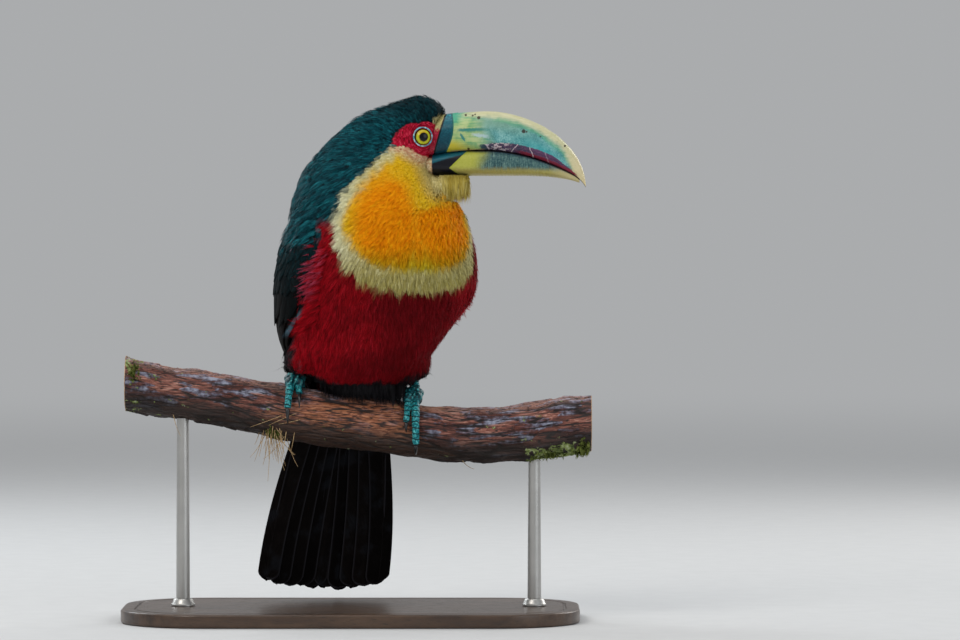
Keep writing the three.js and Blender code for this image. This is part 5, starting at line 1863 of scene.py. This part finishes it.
class Vanes:
    """Collects the grids of many vanes and makes one mesh of them."""

    def __init__(self):
        self.points, self.faces, self.notes, self.count = [], [], [], 0

    def add(self, place, wide, long, tone, edge=0, along=18, across=6):
        """place(part, web) gives the corners; web is -1 to 1 across the vane. Rows crowd at the tip."""
        rows = 1 - (1 - np.linspace(0, 1, along + 1)) ** 1.8
        part, web = np.meshgrid(rows, np.linspace(-1, 1, across + 1), indexing="ij")
        corners = place(part, web).reshape(-1, 3)
        index = self.count + np.arange(len(corners)).reshape(part.shape)
        faces = np.stack([index[:-1, :-1], index[1:, :-1], index[1:, 1:], index[:-1, 1:]], -1)
        notes = np.stack([web * wide / 20, part * long / 200, tone + 0 * web, edge + 0 * web], -1)
        self.faces.append(faces.reshape(-1, 4))
        self.points.append(corners)
        self.notes.append(notes.reshape(-1, 4))
        self.count += len(corners)

    def made(self, name, thick=0.16):
        mesh = bpy.data.meshes.new(name)
        mesh.from_pydata((np.concatenate(self.points) * MM).tolist(), [], np.concatenate(self.faces).tolist())
        piece = add_object(name, mesh)
        store(piece, "vane", np.concatenate(self.notes))
        apply(piece, "SOLIDIFY", thickness=thick * MM, offset=0)
        return piece


TIP_RISE = 0.45


def wing_vane(vanes, side, across, start, end, wide, draw, lift, tip, drift=0, edge=0):
    """One vane of the wing, from station `start` to `end`, at `across`; its web is `wide` millimetres."""
    bend = draw.normal(0, 0.012)
    raise_by = draw.uniform(-0.12, 0.12)
    wave_at = draw.uniform(0, 6)

    def place(part, web):
        station = mix(start, end, part)
        middle = across + drift * part + bend * np.sin(part * 3)
        step = 0.02
        unit_wide = np.linalg.norm(wing_place(side, station, middle + step, 0 * part)
                                   - wing_place(side, station, middle - step, 0 * part), axis=-1) / (2 * step)
        half = wide / 2 * web_width(part, tip) / unit_wide
        at = np.clip(middle + web * half, -1.04, 1.04)
        height = lift + raise_by - 0.9 * (1 - part) + TIP_RISE * (part - 0.6) - 0.35 * web**2
        height = height + 0.06 * np.sin(part * 17 + wave_at + web * 1.5)
        return wing_place(side, station, at, height)

    long = (end - start) * (WING_TOP - WING_TIP)
    vanes.add(place, wide, long, draw.uniform(0.2, 0.9), edge)


def wing(name, side, seed):
    draw = np.random.default_rng(seed)
    vanes = Vanes()
    for i in range(8):  # primaries, outermost first
        part = i / 7
        wing_vane(vanes, side, mix(-0.86, 0.3, part), 0.3, mix(0.9, 1, math.sin(part * 2.2)), 9.5, draw,
                  lift=mix(-1.9, -1, part), drift=0.1, tip=0.12)
    for i in range(10):  # secondaries and tertials; the innermost lies on top
        part = i / 9
        end = mix(0.8, 0.6, part**1.5) + draw.normal(0, 0.008)
        wing_vane(vanes, side, mix(-0.62, 0.9, part), 0.22, end, mix(11, 14, part), draw,
                  lift=mix(-1, 0.15, part), drift=-0.02, tip=0.14)
    rows = [  # coverts: how many, start, end, width, lift, edge
        (12, 0.14, 0.44, 11, -0.3, 0.15), (14, 0.1, 0.32, 9.5, -0.05, 0.35),
        (15, 0.06, 0.235, 8.6, 0.1, 0.6), (16, 0.03, 0.175, 8, 0.2, 0.8),
        (16, 0, 0.12, 7.6, 0.25, 1), (14, -0.02, 0.075, 7.2, 0.2, 1),
    ]
    for many, start, end, wide, lift, edge in rows:
        for i in range(many):
            part = (i + draw.uniform(-0.2, 0.2)) / (many - 1)
            dip = 0.03 * math.sin(part * math.pi) + draw.normal(0, 0.013)
            wing_vane(vanes, side, mix(-0.95, 0.95, part), start, end + dip, wide, draw, lift=lift, edge=edge,
                      tip=0.3)
    return vanes.made(name)


def tail(name, seed):
    draw = np.random.default_rng(seed)
    vanes = Vanes()
    many = TAIL["feathers"]
    wide = 19
    for i in range(many):
        across = (i - (many - 1) / 2) / (many / 2)
        layer = -0.42 * abs(i - (many - 1) / 2) + 0.6
        turn, end = draw.normal(0, 0.01), 1 + draw.uniform(-0.012, 0)
        wave_at = draw.uniform(0, 6)
        torn = draw.normal(0, 0.0035, 41)

        def place(part, web):
            half = wide / 2 * web_width(part, 0.05, 0.55) ** 0.8 / fan_half(part)
            at = across * 0.97 + turn * part + web * half
            sag = 0.1 * np.sin(part * 12 + wave_at) - 0.45 * web**2
            ragged = np.interp(web, np.linspace(-1, 1, 41), torn) * smooth(part, 0.95, 1)
            return tail_place(np.clip(at, -1.02, 1.02), part * end + ragged, layer + sag)

        vanes.add(place, wide, TAIL["length"], draw.uniform(0.2, 0.8), along=30, across=20)
    return vanes.made(name, 0.22)


# %% Paint of the vanes
def vane_paint(name, on_wing):
    paint = Paint(name, Specular_IOR_Level=0.02)
    web, run, tone = paint.split(paint.attribute("vane"))
    edge = paint.attribute("vane", 3)
    web = web * 20
    run = run * 200
    slant = run + web.size() * 0.9
    lines = paint.node("CombineXYZ", None, {0: slant * 2.1, 1: tone * 37, 2: web * 0.25})
    barbs = paint.noise(1, lines, 2, 0.6)
    cloud = paint.noise(0.08, detail=3)
    black = paint.ramp(barbs * 0.5 + tone * 0.3 + cloud * 0.2, [
        (0.3, (0.0012, 0.0009, 0.001)), (0.5, (0.0036, 0.0028, 0.0028)), (0.65, (0.008, 0.0064, 0.006)),
        (0.8, (0.018, 0.014, 0.014)),
    ])
    blue = paint.blend(barbs, (0.002, 0.014, 0.019), (0.008, 0.06, 0.075))
    black = paint.blend(edge * barbs.step(0.38, 0.66) * 0.9, black, blue)
    shaft = web.size().step(0.42, 0.15)
    colour = paint.blend(shaft * 0.5, black, (0.018, 0.016, 0.017))
    if on_wing:
        # painted highlight: a pale blue-grey feather edge down the wing beside the red breast
        edge_highlight = (paint.x + 32.5 - (paint.z - 203.5) * 0.74 + (cloud - 0.5) * 4).size().step(3, 1.2)
        edge_highlight = edge_highlight * paint.z.step(187, 193) * paint.z.step(210, 204) * paint.y.step(0, -12)
        colour = paint.blend(edge_highlight * barbs.step(0.3, 0.55) * 0.85, colour, (0.1, 0.18, 0.24))
    else:
        # painted sheen: faint bluish patches on the black tail
        rim, blue_sheen = web.size().step(16, 18.6) * 0.9, cloud.step(0.52, 0.68) * barbs * 0.7
        colour = paint.coats(colour, (rim, (0.022, 0.021, 0.025)), (blue_sheen, (0.014, 0.017, 0.023)))
    return paint.finish(colour, 0.44 + barbs * 0.16, barbs * 0.6 + shaft * 1.4, 0.12)


WING_PAINT = vane_paint("wing_vane_paint", True)
keep(wing("wing_vanes_right", -1, 201), WING_PAINT, "black_feather", "wing_right")
keep(wing("wing_vanes_left", 1, 202), WING_PAINT, "black_feather", "wing_left")
keep(tail("tail_vanes", 203), vane_paint("tail_vane_paint", False), "black_feather", "tail")


# %% [markdown]
# ## Straw, moss and lichen on the perch
#
# A few dry stalks hang under the branch, and moss grows in cushions where the bark holds water.
# A stalk is a thin tube with a slow bend. Moss is the same tuft as a feather, with short upright strands.

# %% Dry stalks
draw = np.random.default_rng(290)
STALKS = [  # x, turn round the branch in degrees, length, lean along x, droop
    (draw.normal(-51, 5), draw.uniform(122, 168), draw.uniform(7, 22), draw.normal(0, 0.35), 1)
    for _ in range(30)
]
STALKS += [
    (-53, 140, 34, -0.06, 1), (-50, 148, 25, 0.22, 0.9), (-44, 92, 24, -0.93, 0.34), (-36, 84, 20, -0.9, 0.4),
    (-33, 96, 15, -0.95, 0.2), (74, 160, 10, 0.7, 0.5), (-118, 150, 15, 0.3, 0.9),
]
paint = Paint("dry_stalk")
fleck = paint.noise(1.4, detail=3)
straw = paint.ramp(fleck, [(0.3, (0.16, 0.075, 0.03)), (0.5, (0.42, 0.27, 0.12)), (0.7, (0.62, 0.47, 0.26))])
STRAW = paint.finish(straw, 0.6, fleck, 0.05)
bpy.ops.curve.primitive_bezier_curve_add()
stalks = bpy.context.object
stalks.name = "perch_stalks"
stalks.data.splines.clear()
stalks.data.dimensions = "3D"
stalks.data.bevel_depth = 0.27 * MM
stalks.data.bevel_resolution = 2
stalks.data.use_fill_caps = True
for x, turn, length, along, droop in STALKS:
    way = math.radians(-turn)
    start = on_branch(np.array([float(x)]), np.array([way]), -0.8)[0]
    off = np.array([0.0, math.sin(way), math.cos(way)])
    spline = stalks.data.splines.new("POLY")
    spline.points.add(7)
    for i, point in enumerate(spline.points):
        part = i / 7
        place = start + length * part * unit(0.5 * (1 - part) * off + np.array([along, 0.0, -droop]))
        point.co = (*(place * MM), 1)
        point.radius = 1 - 0.6 * part
select_only(stalks)
bpy.ops.object.convert(target="MESH")
stalks = bpy.context.object
keep(stalks, STRAW, "bark")

# %% Moss cushions
MOSS = [  # x, turn in degrees, half length along, half width round, tufts
    (155, -146, 5, 26, 130), (133, -150, 12, 16, 70), (-144, -60, 5, 26, 50), (-52, -146, 5, 18, 70),
    (118, 120, 14, 40, 120),
]
paint = Paint("moss", Specular_IOR_Level=0.2)
along, shade, tuft = paint.split(paint.attribute("feather"))
green = paint.ramp(shade * 0.5 + tuft * 0.3 + along * 0.3, [
    (0.25, (0.02, 0.03, 0.005)), (0.5, (0.085, 0.11, 0.018)), (0.75, (0.2, 0.23, 0.055)),
])
MOSS_PAINT = paint.finish(green, 0.8)
draw = np.random.default_rng(301)
feet = []
for x, turn, half_long, half_round, many in MOSS:
    spread = draw.normal(0, 0.45, (many, 2))
    feet.append(np.stack([x + spread[:, 0] * half_long, np.radians(turn + spread[:, 1] * half_round)], -1))
feet = np.concatenate(feet)
feet = feet[(feet[:, 0] > PERCH["from"] + 2) & (feet[:, 0] < PERCH["to"] - 2)]
on_bark = on_branch(feet[:, 0], feet[:, 1], -0.2)
off_bark = np.stack([0 * feet[:, 0], np.sin(feet[:, 1]), np.cos(feet[:, 1])], -1)
creep = unit(off_bark * 0.9 + draw.normal(0, 0.55, on_bark.shape))
moss = tufts("perch_moss", on_bark, off_bark, creep, length=draw.uniform(1.6, 3.6, len(feet)), width=1.6,
             ribbon=0.32, rise=0.5, marks=None, seed=302, fray=0.25)
keep(moss, MOSS_PAINT, "bark")


# %% [markdown]
# ## Putting the pieces on the body
#
# Every piece rides on the one body of the model, and the solids that it stands for are hidden.

# %% Ride, replace and finish
for piece, slot_name, nodes in PIECES:
    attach(piece, "root")
    if nodes:
        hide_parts(*nodes)
print("faces in all:", sum(len(piece.data.polygons) for piece, _, _ in PIECES))
